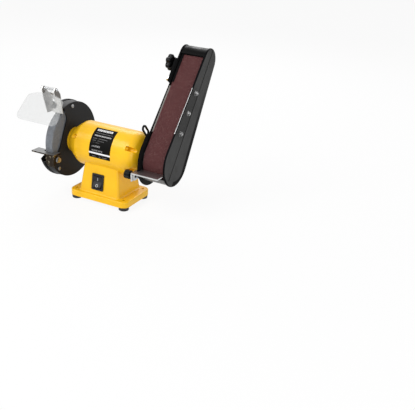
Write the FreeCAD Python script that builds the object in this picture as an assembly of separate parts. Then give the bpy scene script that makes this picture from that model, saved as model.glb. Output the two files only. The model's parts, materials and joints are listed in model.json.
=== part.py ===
import FreeCAD, Part
import math
import os

# Bench grinder with a grinding wheel on the left end of the motor shaft and a belt sanding arm on the right.
# Millimetres. X runs along the motor shaft towards the belt arm, Y to the back, Z up.
# The origin is the centre of the bench-bolt pattern, in the plane of the undersides of the feet.

Vec = FreeCAD.Vector

# ---- driving dimensions ----
slip = 0.3                    # gap between pieces that move past each other
running = 0.05                # radial clearance of a pin or shaft in its hole
shaft_height = 121.0          # shaft axis above the bench

foot_pitch_x = 125.0
foot_pitch_y = 80.0
foot_radius = 12.0
foot_height = 8.5
foot_neck_radius = 6.0
foot_neck_length = 6.0
bench_bolt_radius = 3.3

flange_length = 152.0
flange_margin = 14.0          # flange depth beyond the pedestal's
flange_corner = 16.0
flange_height = 14.0
casting_wall = 3.5
pedestal_length = 105.0       # at the flange
pedestal_depth = 94.0         # at the flange
pedestal_corner = 7.0
pedestal_side_draft = 12.0    # inset of each side between flange and shaft height
pedestal_face_draft = 13.5    # inset of front and back between flange and shaft height
pedestal_root_fillet = 4.0
flange_depth = pedestal_depth + flange_margin
plate_thickness = 1.2         # bottom plate
plate_lift = 0.5              # bottom plate above the casting's rim
plate_screw_x = 38.0
plate_screw_y = 45.0
plate_screw_radius = 1.5
plate_screw_length = 9.0
plate_head_radius = 3.2
plate_head_height = 2.0
plate_boss_radius = 4.5
saddle_screw_x = 30.0
saddle_head_radius = 4.6
saddle_head_height = 4.0
wire_hole_radius = 7.0        # between base and motor
capacitor_radius = 14.0
capacitor_length = 46.0
capacitor_back = 12.0
capacitor_height = 32.0       # its axis above the bench
capacitor_tab_length = 6.0
capacitor_tab_sheet = 0.8
clip_sheet = 1.15
clip_width = 12.0
clip_gap = 14.0               # open at the top
clip_foot = 24.0
terminal_left = -42.0
terminal_middle_y = -17.0
terminal_size = 10.0          # height and depth
terminal_pitch = 9.0
terminal_count = 3
terminal_hole_radius = 2.0

motor_radius = 50.0
motor_wall = 3.5
motor_left = -55.0            # seam with the left end bell
motor_right = 62.0            # seam with the right end bell
left_bell_depth = 36.0
left_bell_shoulder = 7.0      # straight length before the cone
left_bell_nose_radius = 29.5
left_bell_round = 10.0
right_bell_depth = 34.0
right_bell_shoulder = 16.5
right_bell_nose_radius = 27.0
right_bell_round = 25.0
bell_wall = 4.0
label_left = -22.0
label_right = 32.0
label_bottom = -12.5          # degrees above the front
label_top = 69.0
label_sheet = 0.3
bell_screw_ring = 42.0
bell_screw_angles = (30.0, 150.0, 210.0, 330.0)
bell_screw_seat = 4.5         # metal under each screw head
bell_pocket_radius = 5.0
screw_radius = 2.5            # M5
bell_head_radius = 4.3
bell_head_height = 3.2
bell_screw_length = 10.0      # inside the housing
bell_thread_depth = 12.0
bell_boss_radius = 5.2
bell_boss_length = 14.0

bearing_bore_radius = 7.5
bearing_outer_radius = 17.5
bearing_width = 11.0
bearing_wall = 3.1
ball_radius = 2.3
ball_count = 8
left_bearing_x = -88.0
right_bearing_x = 79.0

shaft_core_radius = 9.0
shaft_end_radius = 6.35
stator_bore_radius = 28.0
stator_length = 50.0
stator_slots = 12
stator_slot_start = 2.5       # from the bore
stator_slot_end = 12.0
stator_slot_half = 3.4
winding_length = 14.0
rotor_ring = 8.0              # width of the rotor's end rings
rotor_ring_length = 4.0
air_gap = 0.4

guard_radius = 86.0
guard_forward = 4.5           # guard centre ahead of the shaft
guard_raise = 1.0
guard_sheet = 1.2
guard_plate_x = -97.0         # motor side of the guard plate
wheel_radius = 75.0
wheel_width = 19.0
wheel_side_gap = 2.8          # guard plate to wheel
wheel_cover_gap = 2.4         # wheel to outer cover
wheel_bush_radius = 16.0
clamp_flange_radius = 19.5
clamp_flange_hub = 11.0
clamp_flange_sheet = 1.8
blotter = 0.6
cover_pan_radius = 30.0
cover_pan_depth = 14.5
cover_lip_gap = 0.2           # guard band to the cover's lip
cover_lip_depth = 5.0
guard_screw_ring = 77.5
guard_screw_radius = 2.0      # M4
guard_head_radius = 4.0
guard_head_height = 2.8
guard_nut_width = 7.0
guard_nut_height = 3.2
mount_screw_ring = 24.0       # three screws hold the guard on the bell
mount_screw_count = 3
mount_screw_radius = 1.95
mount_head_radius = 3.5
mount_head_height = 1.8
shaft_overhang = 11.0         # shaft end beyond the guard cover
shaft_nut_width = 19.0
wheel_nut_height = 8.0
outer_flange_depth = 3.0
guard_screw_angles = (92.0, 225.0)
band_start = 205.0            # the band runs from here round the back
band_end = 480.0              # to here above the wheel, in degrees

deflector_lean = 10.3
deflector_foot = (-47.0, 71.2)   # lower edge of the deflector from the shaft: back, up
deflector_left = -123.5
deflector_right = -90.0
deflector_sheet = 1.5
deflector_height = 46.0
ear_height = 63.0
ear_depth = 18.0
deflector_down = 8.0          # travel
deflector_up = 4.0
deflector_bolt_up = 16.0
deflector_bolt_radius = 2.95
deflector_washer_radius = 5.5
deflector_head_width = 8.0
deflector_head_height = 4.2
washer_sheet = 1.2
shield_rod_up = 59.0
shield_rod_out = 11.0
shield_rod_radius = 2.0
shield_thickness = 2.5
shield_reach = 80.0
shield_slope = 40.0           # shield away from vertical
shield_top_width = 48.0
shield_shoulder_width = 91.0
shield_bottom_width = 109.0
shield_shoulder = 21.0        # down the sheet from the rod
shield_corner = 13.0
shield_tongue = 15.0          # width at the rod
shield_spread = 13.0          # length of the tongue
sleeve_wall = 2.2

rest_top = -12.0              # wheel tool rest, below the shaft axis
rest_sheet = 3.0
rest_left = -146.0
rest_right = -86.0
rest_front = -90.0
rest_back = -66.0
rest_notch_gap = 3.0
rest_apron_left = -107.5      # the front edge turns down from here to the right end
rest_bolt_y = -66.0
rest_bolt_z = -31.0
rest_bolt_radius = 2.95
rest_washer_radius = 6.5
rest_flange_sheet = 2.0
rest_flange_low = 8.0         # flange below its bolt
rest_apron_corner = 9.0
bolt_head_width = 10.0
bolt_head_height = 4.0
rest_out = 6.0                # travel away from the wheel
rest_in = 1.5                 # travel towards the wheel

arm_tilt = 34.7               # arm centre line, back from vertical
belt_width = 50.0
belt_left = 111.0
belt_thickness = 1.2
belt_drum_radius = 43.6       # outside of the belt at the drum
belt_idler_radius = 23.4      # outside of the belt at the idler
arm_length = 237.0            # drum centre to idler centre
back_plate_x = 104.5
back_plate_sheet = 2.0
back_plate_rim = 11.6         # back plate edge beyond the belt, at the drum
back_plate_tip = 5.4          # the same at the idler
back_plate_lobe = 57.0        # radius of the plate's foot, set back and down from the shaft
back_plate_lobe_at = (4.0, -4.0)
cover_rim = 8.9
cover_tip = 5.1
cover_face_x = 168.0
cover_sheet = 1.2
cover_depth = 4.5
cover_bevel = 2.9
cover_recess = 0.8            # the front half of the face lies this much deeper
cover_crease = (-4.0, -9.0)   # the step's place at the idler and at the drum
band_rim = 6.9                # sheet band outside the belt, at the drum
band_tip = 3.9
band_sheet = 1.5
band_front_angle = 248.0      # the lower band's ends, in degrees about the drum
band_back_angle = 352.0
guard_lip_angle = 184.0       # front lip of the top guard, about the idler
platen_low = 47.0
platen_high = 157.0
platen_sheet = 2.5
platen_flange = 16.0
platen_bolt_set = 8.0         # bolt axis behind the belt
platen_bolt_radius = 2.5      # M5
platen_nut_width = 8.0
platen_bolt_rows = (57.0, 105.0, 153.0)
spigot_radius = 22.0
collar_radius = 31.0
collar_x = 96.5
collar_split = 2.4
collar_ear = 13.0             # beyond the ring
clamp_bolt_out = 6.0          # bolt axis beyond the ring
clamp_bolt_radius = 2.5
clamp_head_radius = 3.8
drum_wall = 4.0
drum_web = 6.0
drum_hub_radius = 13.0
drum_hub_gap = 1.3            # back plate to hub
drum_hub_past = 8.0           # hub beyond the drum's middle
drum_hole_ring = 25.0
drum_hole_radius = 7.5

idler_axle_radius = 5.0
idler_bearing_radius = 13.0
idler_bearing_width = 8.0
carrier_half_width = 9.0
carrier_sheet = 5.5
tension_travel = 4.8
lever_pivot_s = 58.0
lever_sheet = 3.5
cam_radius = 9.0
cam_throw = 5.0
cam_angle = 45.0
lever_elbow = (-28.0, -18.0)
lever_eye = ((-37.0, -16.2), (-54.0, -12.2))
lever_radius = 5.0
lever_boss_radius = 11.0
lever_eye_radius = 7.0
lever_hole_radius = 4.0
pivot_radius = 3.0
guide_bolt_radius = 4.0
guide_washer_radius = 7.0
guide_bolts_at = ((0.0, 115.0), (-21.0, arm_length - 62.0))
guide_slack = 0.4
knob_s = arm_length - 24.0
knob_n = -19.0
knob_radius = 18.0
knob_depth = 12.0
knob_standoff = 7.0
knob_lobes = 6
knob_lobe_radius = 4.5
knob_neck_radius = 8.0
stud_radius = 4.0

work_rest_top = -14.0
work_rest_sheet = 3.0
work_rest_front = -73.0
work_rest_gap = 2.2
work_rest_right = 163.0
work_rest_chamfer = 5.0
work_knob_y = -61.0
work_knob_z = -24.0
work_knob_radius = 9.5
work_knob_length = 16.0
work_knob_neck = 3.0
work_knob_grooves = 10
work_flange_sheet = 2.5
wide_washer_radius = 8.0
small_washer_radius = 6.5
bracket_sheet = 2.2
work_rest_out = 8.0
work_rest_in = 1.5

switch_x = -3.5
switch_share = 0.5875         # the switch's place between the flange and the motor
switch_width = 30.0
switch_height = 37.0
rocker_width = 20.4
rocker_height = 28.0
rocker_throw = 14.0           # degrees between off and on
cord_hole_radius = 3.75
gland_x = -25.0
gland_z = 42.0
gland_hole_radius = 6.0
gland_lip_radius = 9.0
gland_lip = 3.5
gland_barb_radius = 7.5
switch_bezel = 2.2
switch_rim = 2.0              # bezel beyond the hole in the wall
switch_depth = 18.0
switch_tab_length = 8.0
rocker_pin_radius = 1.5
rocker_pin_y = 3.0


# ---- shape helpers ----
def box(x0, x1, y0, y1, z0, z1):
    return Part.makeBox(x1 - x0, y1 - y0, z1 - z0, Vec(x0, y0, z0))


def rod(radius, x0, x1, y=0.0, z=0.0):
    """Cylinder along X."""
    return Part.makeCylinder(radius, x1 - x0, Vec(x0, y, z), Vec(1, 0, 0))


def tube(outer, inner, x0, x1, y=0.0, z=0.0):
    return rod(outer, x0, x1, y, z).cut(rod(inner, x0 - 1, x1 + 1, y, z))


def post(radius, z0, z1, x=0.0, y=0.0):
    """Cylinder along Z."""
    return Part.makeCylinder(radius, z1 - z0, Vec(x, y, z0))


def hexagon(across, x0, x1, y=0.0, z=0.0):
    """Hexagonal prism along X."""
    corner = across / math.sqrt(3)
    angles = [math.radians(60 * k + 30) for k in range(7)]
    points = [Vec(x0, y + corner * math.cos(a), z + corner * math.sin(a)) for a in angles]
    return Part.Face(Part.makePolygon(points)).extrude(Vec(x1 - x0, 0, 0))


def turned(profile, x_shift=0.0):
    """Solid of revolution about X from (x, radius) points."""
    points = [Vec(x + x_shift, 0, r) for x, r in profile]
    points.append(points[0])
    return Part.Face(Part.makePolygon(points)).revolve(Vec(0, 0, 0), Vec(1, 0, 0), 360)


def prism_x(points, x0, x1):
    """Prism along X from (y, z) points."""
    corners = [Vec(x0, y, z) for y, z in points]
    corners.append(corners[0])
    return Part.Face(Part.makePolygon(corners)).extrude(Vec(x1 - x0, 0, 0))


def rounded_wire(length, depth, corner, z):
    """Rounded rectangle at height z, centred on the Z axis."""
    hx, hy = length / 2, depth / 2
    k = corner * (1 - math.sqrt(0.5))
    edges = []
    spots = [(hx, hy, 1, 1), (-hx, hy, -1, 1), (-hx, -hy, -1, -1), (hx, -hy, 1, -1)]
    ends = []
    for x, y, sx, sy in spots:
        along_y = Vec(x, y - sy * corner, z)
        along_x = Vec(x - sx * corner, y, z)
        middle = Vec(x - sx * k, y - sy * k, z)
        first, last = (along_y, along_x) if sx == sy else (along_x, along_y)
        ends.append((first, last))
        edges.append(Part.Arc(first, middle, last).toShape())
    wire = []
    for i in range(4):
        wire.append(edges[i])
        wire.append(Part.makeLine(ends[i][1], ends[(i + 1) % 4][0]))
    return Part.Wire(wire)


def rounded_block(length, depth, corner, z0, z1):
    return Part.Face(rounded_wire(length, depth, corner, z0)).extrude(Vec(0, 0, z1 - z0))


def fillet_where(shape, radius, wanted):
    edges = [e for e in shape.Edges if wanted(e)]
    return shape.makeFillet(radius, edges)


def round_upright(block, radius):
    """Round the edges that run along X."""
    def along_x(edge):
        a, b = edge.Vertexes[0].Point, edge.Vertexes[-1].Point
        return abs(a.y - b.y) < 1e-6 and abs(a.z - b.z) < 1e-6
    return fillet_where(block, radius, along_x)


def slot_x(radius, x0, x1, start, end):
    """Slot cut along X between two (y, z) centres."""
    dy, dz = end[0] - start[0], end[1] - start[1]
    length = math.hypot(dy, dz)
    ny, nz = -dz / length * radius, dy / length * radius
    middle = prism_x([(start[0] + ny, start[1] + nz), (end[0] + ny, end[1] + nz),
                      (end[0] - ny, end[1] - nz), (start[0] - ny, start[1] - nz)], x0, x1)
    return middle.fuse([rod(radius, x0, x1, *start), rod(radius, x0, x1, *end)]).removeSplitter()


def polar(radius, degrees, y=0.0, z=0.0):
    a = math.radians(degrees)
    return y + radius * math.cos(a), z + radius * math.sin(a)


def tilted(shape, degrees, y, z):
    """Turn about X, then move: puts a piece made upright onto a leaning face."""
    shape = shape.copy()
    shape.rotate(Vec(0, 0, 0), Vec(1, 0, 0), degrees)
    shape.translate(Vec(0, y, z))
    return shape


def on_shaft(shape):
    return tilted(shape, 0, 0, shaft_height)


def on_arm(shape):
    """Arm pieces are made with Z along the arm and Y square to it, from the shaft axis."""
    return tilted(shape, -arm_tilt, 0, shaft_height)


def save(name, *solids):
    found = []
    for shape in solids:
        found += shape.Solids
    shape = found[0] if len(found) == 1 else Part.makeCompound(found)
    if not shape.isValid():
        print("NOT VALID", name)
    shape.exportStep("parts/" + name + ".step")
    print(name, len(found), "solids", round(shape.Volume / 1000, 2), "cm3")


# ---- places worked out from the dimensions ----
flange_top = foot_height + flange_height
switch_z = flange_top + switch_share * (shaft_height - motor_radius - flange_top)
face_lean = math.degrees(math.atan(pedestal_face_draft / (shaft_height - flange_top)))
plate_top = foot_height + plate_lift + plate_thickness
feet = [(sx * foot_pitch_x / 2, sy * foot_pitch_y / 2) for sx in (-1, 1) for sy in (-1, 1)]
plate_screws = [(sx * plate_screw_x, sy * plate_screw_y) for sx in (-1, 1) for sy in (-1, 1)]
left_bell_end = motor_left - left_bell_depth
right_bell_end = motor_right + right_bell_depth
guard_inside_x = guard_plate_x - guard_sheet
wheel_right_x = guard_inside_x - wheel_side_gap
wheel_left_x = wheel_right_x - wheel_width
cover_inside_x = wheel_left_x - wheel_cover_gap
cover_outside_x = cover_inside_x - guard_sheet
shaft_shoulder_x = guard_plate_x + 4.0
wheel_middle_x = (wheel_left_x + wheel_right_x) / 2
belt_right = belt_left + belt_width
drum_radius = belt_drum_radius - belt_thickness - slip
idler_radius = belt_idler_radius - belt_thickness - slip
plate_inside_x = back_plate_x + back_plate_sheet
cover_edge_x = cover_face_x - cover_depth
nut_seat_x = cover_face_x - cover_recess
back_plate_reach = belt_drum_radius + back_plate_rim
wedge = math.asin((belt_drum_radius - belt_idler_radius) / arm_length)


def pedestal_half_depth(z):
    return pedestal_depth / 2 - pedestal_face_draft * (z - flange_top) / (shaft_height - flange_top)


# ---- base ----
def pedestal(inset, z0):
    """Tapered block up to the shaft height, its walls moved in by inset."""
    grow = (flange_top - z0) / (shaft_height - flange_top)
    low = rounded_wire(pedestal_length - 2 * inset + 2 * pedestal_side_draft * grow,
                       pedestal_depth - 2 * inset + 2 * pedestal_face_draft * grow,
                       pedestal_corner - inset / 2, z0)
    high = rounded_wire(pedestal_length - 2 * inset - 2 * pedestal_side_draft,
                        pedestal_depth - 2 * inset - 2 * pedestal_face_draft,
                        pedestal_corner - inset / 2, shaft_height)
    return Part.makeLoft([low, high], True, True)


def base_casting():
    flange = rounded_block(flange_length, flange_depth, flange_corner, foot_height, flange_top)
    flange = fillet_where(flange, 2.5, lambda e: abs(e.BoundBox.ZMin - flange_top) < 0.01)
    outer = flange.fuse(pedestal(0, flange_top)).removeSplitter()

    def at_root(edge):
        b = edge.BoundBox
        flat = abs(b.ZMin - flange_top) < 0.01 and abs(b.ZMax - flange_top) < 0.01
        return flat and b.XMax < pedestal_length / 2 + 0.01 and b.XMin > -pedestal_length / 2 - 0.01 \
            and b.YMax < pedestal_depth / 2 + 0.01 and b.YMin > -pedestal_depth / 2 - 0.01
    outer = fillet_where(outer, pedestal_root_fillet, at_root)
    w = casting_wall
    flange_inside = rounded_block(flange_length - 2 * w, flange_depth - 2 * w, flange_corner - w,
                                  foot_height - 1, flange_top - w)
    saddle = on_shaft(rod(motor_radius + w, -flange_length, flange_length))
    inside = pedestal(w, foot_height).cut(saddle)
    body = outer.cut(flange_inside).cut(inside)
    for x, y in feet:
        boss = post(foot_radius, foot_height, flange_top - w / 2, x, y)
        within = rounded_block(flange_length - w, flange_depth - w, flange_corner, foot_height, flange_top)
        body = body.fuse(boss.common(within))
    for x, y in plate_screws:
        body = body.fuse(post(plate_boss_radius, plate_top, flange_top - w / 2, x, y))
    for x, y in feet:
        body = body.cut(post(bench_bolt_radius, 0, shaft_height / 2, x, y))
        body = body.cut(post(foot_neck_radius, 0, foot_height + foot_neck_length, x, y))
    for x, y in plate_screws:
        body = body.cut(post(plate_screw_radius + 0.1, foot_height, flange_top - w - 1, x, y))
    body = body.cut(on_shaft(rod(motor_radius, -flange_length, flange_length)))
    body = body.cut(post(wire_hole_radius, shaft_height / 2, shaft_height, 0, 0))
    half_w, half_h = switch_width / 2 - switch_rim, switch_height / 2 - switch_rim
    opening = box(-half_w, half_w, -3 * w, 3 * w, -half_h, half_h)
    opening.translate(Vec(switch_x, 0, 0))
    body = body.cut(tilted(opening, -face_lean, -pedestal_half_depth(switch_z), switch_z))
    gland_hole = Part.makeCylinder(gland_hole_radius, 8 * w, Vec(gland_x, -4 * w, 0), Vec(0, 1, 0))
    body = body.cut(tilted(gland_hole, face_lean, pedestal_half_depth(gland_z), gland_z))
    for x in (-saddle_screw_x, saddle_screw_x):
        hole = Part.makeCylinder(screw_radius + 0.1, 8 * w, Vec(x, 0, -motor_radius - 4 * w), Vec(0, 0, 1))
        body = body.cut(on_shaft(hole))
    return body


def saddle_screws():
    """Two screws up through the saddle into the motor housing."""
    top = shaft_height - motor_radius
    seat = top - casting_wall - 0.5
    made = []
    for x in (-saddle_screw_x, saddle_screw_x):
        shank = post(screw_radius, seat, top + motor_wall, x)
        head = post(saddle_head_radius, seat - saddle_head_height, seat, x)
        made.append(shank.fuse(head).removeSplitter())
    return made


def rubber_feet():
    made = []
    for x, y in feet:
        disc = Part.makeCone(foot_radius - 0.8, foot_radius, foot_height, Vec(x, y, 0))
        disc = fillet_where(disc, 0.8, lambda e: abs(e.BoundBox.ZMax) < 0.01)
        neck = post(foot_neck_radius - 0.1, foot_height, foot_height + foot_neck_length - 0.2, x, y)
        made.append(disc.fuse(neck).cut(post(bench_bolt_radius, -1, flange_top, x, y)))
    return made


def base_plate():
    z0 = foot_height + plate_lift
    w = casting_wall + slip
    plate = rounded_block(flange_length - 2 * w, flange_depth - 2 * w, flange_corner - w,
                          z0, z0 + plate_thickness)
    for x, y in feet:
        plate = plate.cut(post(foot_radius + 0.4, 0, flange_top, x, y))
    for x, y in plate_screws:
        plate = plate.cut(post(plate_screw_radius + slip, 0, flange_top, x, y))
    return plate


def base_plate_screws():
    z0 = foot_height + plate_lift
    made = []
    for x, y in plate_screws:
        head = post(plate_head_radius, z0 - plate_head_height, z0, x, y)
        made.append(head.fuse(post(plate_screw_radius, z0, z0 + plate_screw_length, x, y)).removeSplitter())
    return made


# ---- switch, on the leaning front face: built at the origin with its front towards -Y ----
def switch_box():
    bezel = round_front(box(-switch_width / 2, switch_width / 2, -switch_bezel, 0,
                            -switch_height / 2, switch_height / 2))
    half_w, half_h = switch_width / 2 - switch_rim - 0.2, switch_height / 2 - switch_rim - 0.2
    body = bezel.fuse(box(-half_w, half_w, 0, switch_depth, -half_h, half_h))
    hollow_w, hollow_h = rocker_width / 2 + slip, rocker_height / 2 + slip
    body = body.cut(box(-hollow_w, hollow_w, -5, switch_depth - 2, -hollow_h, hollow_h))
    body = body.cut(rod(rocker_pin_radius + running, -hollow_w - 1.6, hollow_w + 1.6, rocker_pin_y, 0))
    for x in (-6.0, 0.0, 6.0):
        body = body.fuse(box(x - 2, x + 2, switch_depth, switch_depth + switch_tab_length, -0.4, 0.4))
    return body.removeSplitter()


def round_front(block):
    def upright(edge):
        a, b = edge.Vertexes[0].Point, edge.Vertexes[-1].Point
        return abs(a.x - b.x) < 1e-6 and abs(a.z - b.z) < 1e-6
    return fillet_where(block, 1.5, upright)


def rocker():
    half = rocker_height / 2
    disc = rod(half, -rocker_width / 2, rocker_width / 2, rocker_pin_y, 0)
    face = prism_x([(-5.2, half), (-1.2, 0), (-5.2, -half), (7.5, -half), (7.5, half)],
                   -rocker_width / 2, rocker_width / 2)
    body = disc.common(face)
    pin = rod(rocker_pin_radius, -rocker_width / 2 - 1.4, rocker_width / 2 + 1.4, rocker_pin_y, 0)
    body = body.fuse(pin).removeSplitter()
    body.rotate(Vec(0, rocker_pin_y, 0), Vec(1, 0, 0), -rocker_throw / 2)
    return body


def on_front(shape):
    shape = shape.copy()
    shape.translate(Vec(switch_x, 0, 0))
    return tilted(shape, -face_lean, -pedestal_half_depth(switch_z), switch_z)


def cord_gland():
    """Grommet that lines the cord's inlet in the back wall."""
    def along_y(radius, y0, y1):
        return Part.makeCylinder(radius, y1 - y0, Vec(gland_x, y0, 0), Vec(0, 1, 0))
    lip = along_y(gland_lip_radius, 0, gland_lip)
    lip = fillet_where(lip, 1.5, lambda e: abs(e.BoundBox.YMin - gland_lip) < 0.01)
    neck = along_y(gland_hole_radius - 0.1, -casting_wall - 5.5, 0)
    barb = along_y(gland_barb_radius, -casting_wall - 2.7, -casting_wall - 0.7)
    body = lip.fuse([neck, barb]).cut(along_y(cord_hole_radius, -5 * casting_wall, 5 * casting_wall))
    body = body.removeSplitter()
    return tilted(body, face_lean, pedestal_half_depth(gland_z), gland_z)


def run_capacitor():
    end = capacitor_length / 2
    can = rod(capacitor_radius, -end, end, capacitor_back, capacitor_height)
    can = can.makeFillet(2.0, [e for e in can.Edges if e.Curve.TypeId == "Part::GeomCircle"])
    half = capacitor_tab_sheet / 2
    tabs = [box(end, end + capacitor_tab_length, y - 3, y + 3,
                capacitor_height - half, capacitor_height + half)
            for y in (capacitor_back - 5, capacitor_back + 5)]
    return can.fuse(tabs)


def capacitor_clip():
    """Band round the can, open at the top, on a neck and a foot."""
    half, inner = clip_width / 2, capacitor_radius + running
    back, up = capacitor_back, capacitor_height
    ring = tube(inner + clip_sheet, inner, -half, half, back, up)
    ring = ring.cut(box(-half - 1, half + 1, back - clip_gap / 2, back + clip_gap / 2,
                        up + capacitor_radius / 2 + 1, up + 2 * capacitor_radius))
    foot = box(-half, half, back - clip_foot / 2, back + clip_foot / 2, plate_top, plate_top + 1.2)
    neck = box(-half, half, back - 1, back + 1, plate_top, up - inner - 0.45)
    return ring.fuse([foot, neck]).removeSplitter()


def terminal_block():
    z0, y, half = plate_top, terminal_middle_y, terminal_size / 2
    right = terminal_left + terminal_count * terminal_pitch + 1
    block = box(terminal_left, right, y - half, y + half, z0, z0 + terminal_size)
    for k in range(terminal_count):
        x = terminal_left + half + terminal_pitch * k
        block = block.cut(post(terminal_hole_radius, z0 + 3, z0 + terminal_size + 2, x, y))
    return block


# ---- motor, built about the shaft axis ----
def motor_housing():
    body = tube(motor_radius, motor_radius - motor_wall, motor_left, motor_right)
    ring = rod(motor_radius - 1, motor_left, motor_right)
    for angle in bell_screw_angles:
        y, z = polar(bell_screw_ring, angle)
        for x0, x1 in ((motor_left, motor_left + bell_boss_length),
                       (motor_right - bell_boss_length, motor_right)):
            body = body.fuse(rod(bell_boss_radius, x0, x1, y, z).common(ring))
    for angle in bell_screw_angles:
        y, z = polar(bell_screw_ring, angle)
        for x0, x1 in ((motor_left - 1, motor_left + bell_thread_depth),
                       (motor_right - bell_thread_depth, motor_right + 1)):
            body = body.cut(rod(screw_radius, x0, x1, y, z))
    depth = 5 * motor_wall
    body = body.cut(Part.makeCylinder(wire_hole_radius, depth, Vec(0, 0, -motor_radius - motor_wall)))
    for x in (-saddle_screw_x, saddle_screw_x):
        body = body.cut(Part.makeCylinder(screw_radius, depth, Vec(x, 0, -motor_radius - motor_wall)))
    return body.removeSplitter()


def rating_plate():
    """Thin label round the front of the housing."""
    ring = tube(motor_radius + label_sheet, motor_radius + running, label_left, label_right)
    keep = sector(180 - label_top, 180 - label_bottom, 2 * motor_radius, 0, 0,
                  label_left - 1, label_right + 1)
    return ring.common(keep)


def end_bell(outer, inner, depth, seat_depth, nose, bore):
    """Bell with its open face at x = 0 and its nose towards +x; nose is the hub's (radius, length)."""
    body = outer.cut(inner)
    hub_start = seat_depth - 2.0
    body = body.fuse(rod(bearing_outer_radius + 4, hub_start, depth - 1))
    body = body.fuse(rod(nose[0], depth - 1, depth + nose[1]))
    for angle in bell_screw_angles:
        y, z = polar(bell_screw_ring, angle)
        body = body.fuse(rod(bell_pocket_radius + 3.5, 0, depth, y, z).common(outer))
    for angle in bell_screw_angles:
        y, z = polar(bell_screw_ring, angle)
        groove = rod(bell_pocket_radius, bell_screw_seat, depth + 20, y, z)
        r = bell_pocket_radius
        channel = box(bell_screw_seat, depth + 20, 0, 20, -r, r)
        channel.rotate(Vec(0, 0, 0), Vec(1, 0, 0), angle)
        channel.translate(Vec(0, y, z))
        body = body.cut(groove.fuse(channel))
        body = body.cut(rod(screw_radius + 0.2, -1, depth, y, z))
    body = body.cut(rod(bearing_outer_radius, hub_start - 1, seat_depth + bearing_width))
    return body.cut(rod(bore, hub_start, depth + nose[1] + 1))


def round_ring(shape, radius, x, ring):
    """Round one circular edge of a turned solid."""
    def wanted(edge):
        b = edge.BoundBox
        return abs(b.XMin - x) < 0.01 and abs(b.XMax - x) < 0.01 and abs(b.ZMax - ring) < 0.01
    return fillet_where(shape, radius, wanted)


def mount_screw_places():
    return [polar(mount_screw_ring, 90 + 360 * k / mount_screw_count) for k in range(mount_screw_count)]


def left_bell():
    depth, t = left_bell_depth, bell_wall
    outer = turned([(0, 0), (0, motor_radius), (left_bell_shoulder, motor_radius),
                    (depth, left_bell_nose_radius), (depth, 0)])
    outer = round_ring(outer, left_bell_round, left_bell_shoulder, motor_radius)
    outer = round_ring(outer, 3.0, depth, left_bell_nose_radius)
    inner = turned([(-1, 0), (-1, motor_radius - t), (left_bell_shoulder - 2, motor_radius - t),
                    (depth - t, left_bell_nose_radius - 2), (depth - t, 0)])
    seat = motor_left - left_bearing_x - bearing_width
    pad = left_bell_end - guard_plate_x
    body = end_bell(outer, inner, depth, seat, (left_bell_nose_radius - 1.5, pad), shaft_core_radius + 0.5)
    body = body.cut(rod(clamp_flange_hub + 2.5, depth, depth + pad + 1))
    for y, z in mount_screw_places():
        body = body.cut(rod(mount_screw_radius + running, depth - 4, depth + pad + 1, y, z))
    body.rotate(Vec(0, 0, 0), Vec(0, 0, 1), 180)
    body.translate(Vec(motor_left, 0, 0))
    return body


def right_bell():
    depth, t = right_bell_depth, bell_wall
    outer = turned([(0, 0), (0, motor_radius), (right_bell_shoulder, motor_radius),
                    (depth, right_bell_nose_radius), (depth, 0)])
    outer = round_ring(outer, right_bell_round, right_bell_shoulder, motor_radius)
    outer = round_ring(outer, 2.0, depth, right_bell_nose_radius)
    inner = turned([(-1, 0), (-1, motor_radius - t), (right_bell_shoulder - 5, motor_radius - t),
                    (depth - t, right_bell_nose_radius), (depth - t, 0)])
    spigot = back_plate_x - slip - right_bell_end
    seat = right_bearing_x - motor_right
    body = end_bell(outer, inner, depth, seat, (spigot_radius, spigot), shaft_core_radius + 0.5)
    body.translate(Vec(motor_right, 0, 0))
    return body


def bell_screws():
    made = []
    for angle in bell_screw_angles:
        y, z = polar(bell_screw_ring, angle)
        for seam, way in ((motor_left, -1), (motor_right, 1)):
            seat = seam + way * bell_screw_seat
            tip = seam - way * bell_screw_length
            head_end = seat + way * bell_head_height
            screw = rod(screw_radius - 0.05, min(seat, tip), max(seat, tip), y, z)
            head = rod(bell_head_radius, min(seat, head_end), max(seat, head_end), y, z)
            screw = screw.fuse(head).removeSplitter()
            cross = box(min(head_end, seat) - 1, max(head_end, seat) + 1, -3, 3, -0.6, 0.6)
            cross = cross.common(box(head_end - bell_head_height / 2, head_end + bell_head_height / 2,
                                     -3, 3, -1, 1))
            cross.translate(Vec(0, y, z))
            made.append(screw.cut(cross))
    return made


def stator_core():
    half = stator_length / 2
    body = tube(motor_radius - motor_wall - 0.05, stator_bore_radius, -half, half)
    slot = box(-half - 1, half + 1, stator_bore_radius + stator_slot_start,
               stator_bore_radius + stator_slot_end, -stator_slot_half, stator_slot_half)
    mouth = box(-half - 1, half + 1, stator_bore_radius - 2, stator_bore_radius + 4, -1.0, 1.0)
    cutter = slot.fuse(mouth)
    for k in range(stator_slots):
        turned_slot = cutter.copy()
        turned_slot.rotate(Vec(0, 0, 0), Vec(1, 0, 0), 360.0 * k / stator_slots)
        body = body.cut(turned_slot)
    return body


def stator_windings():
    """End turns at both faces of the core, joined by the bars that lie in its slots."""
    half = stator_length / 2
    inner, outer = stator_bore_radius + stator_slot_start + 0.5, stator_bore_radius + stator_slot_end
    body = tube(outer, inner, half, half + winding_length)
    body = body.fuse(tube(outer, inner, -half - winding_length, -half))
    for k in range(stator_slots):
        bar = box(-half, half, inner + 0.2, outer - 0.4, 0.4 - stator_slot_half, stator_slot_half - 0.4)
        bar.rotate(Vec(0, 0, 0), Vec(1, 0, 0), 360.0 * k / stator_slots)
        body = body.fuse(bar)
    return body.removeSplitter()


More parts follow.
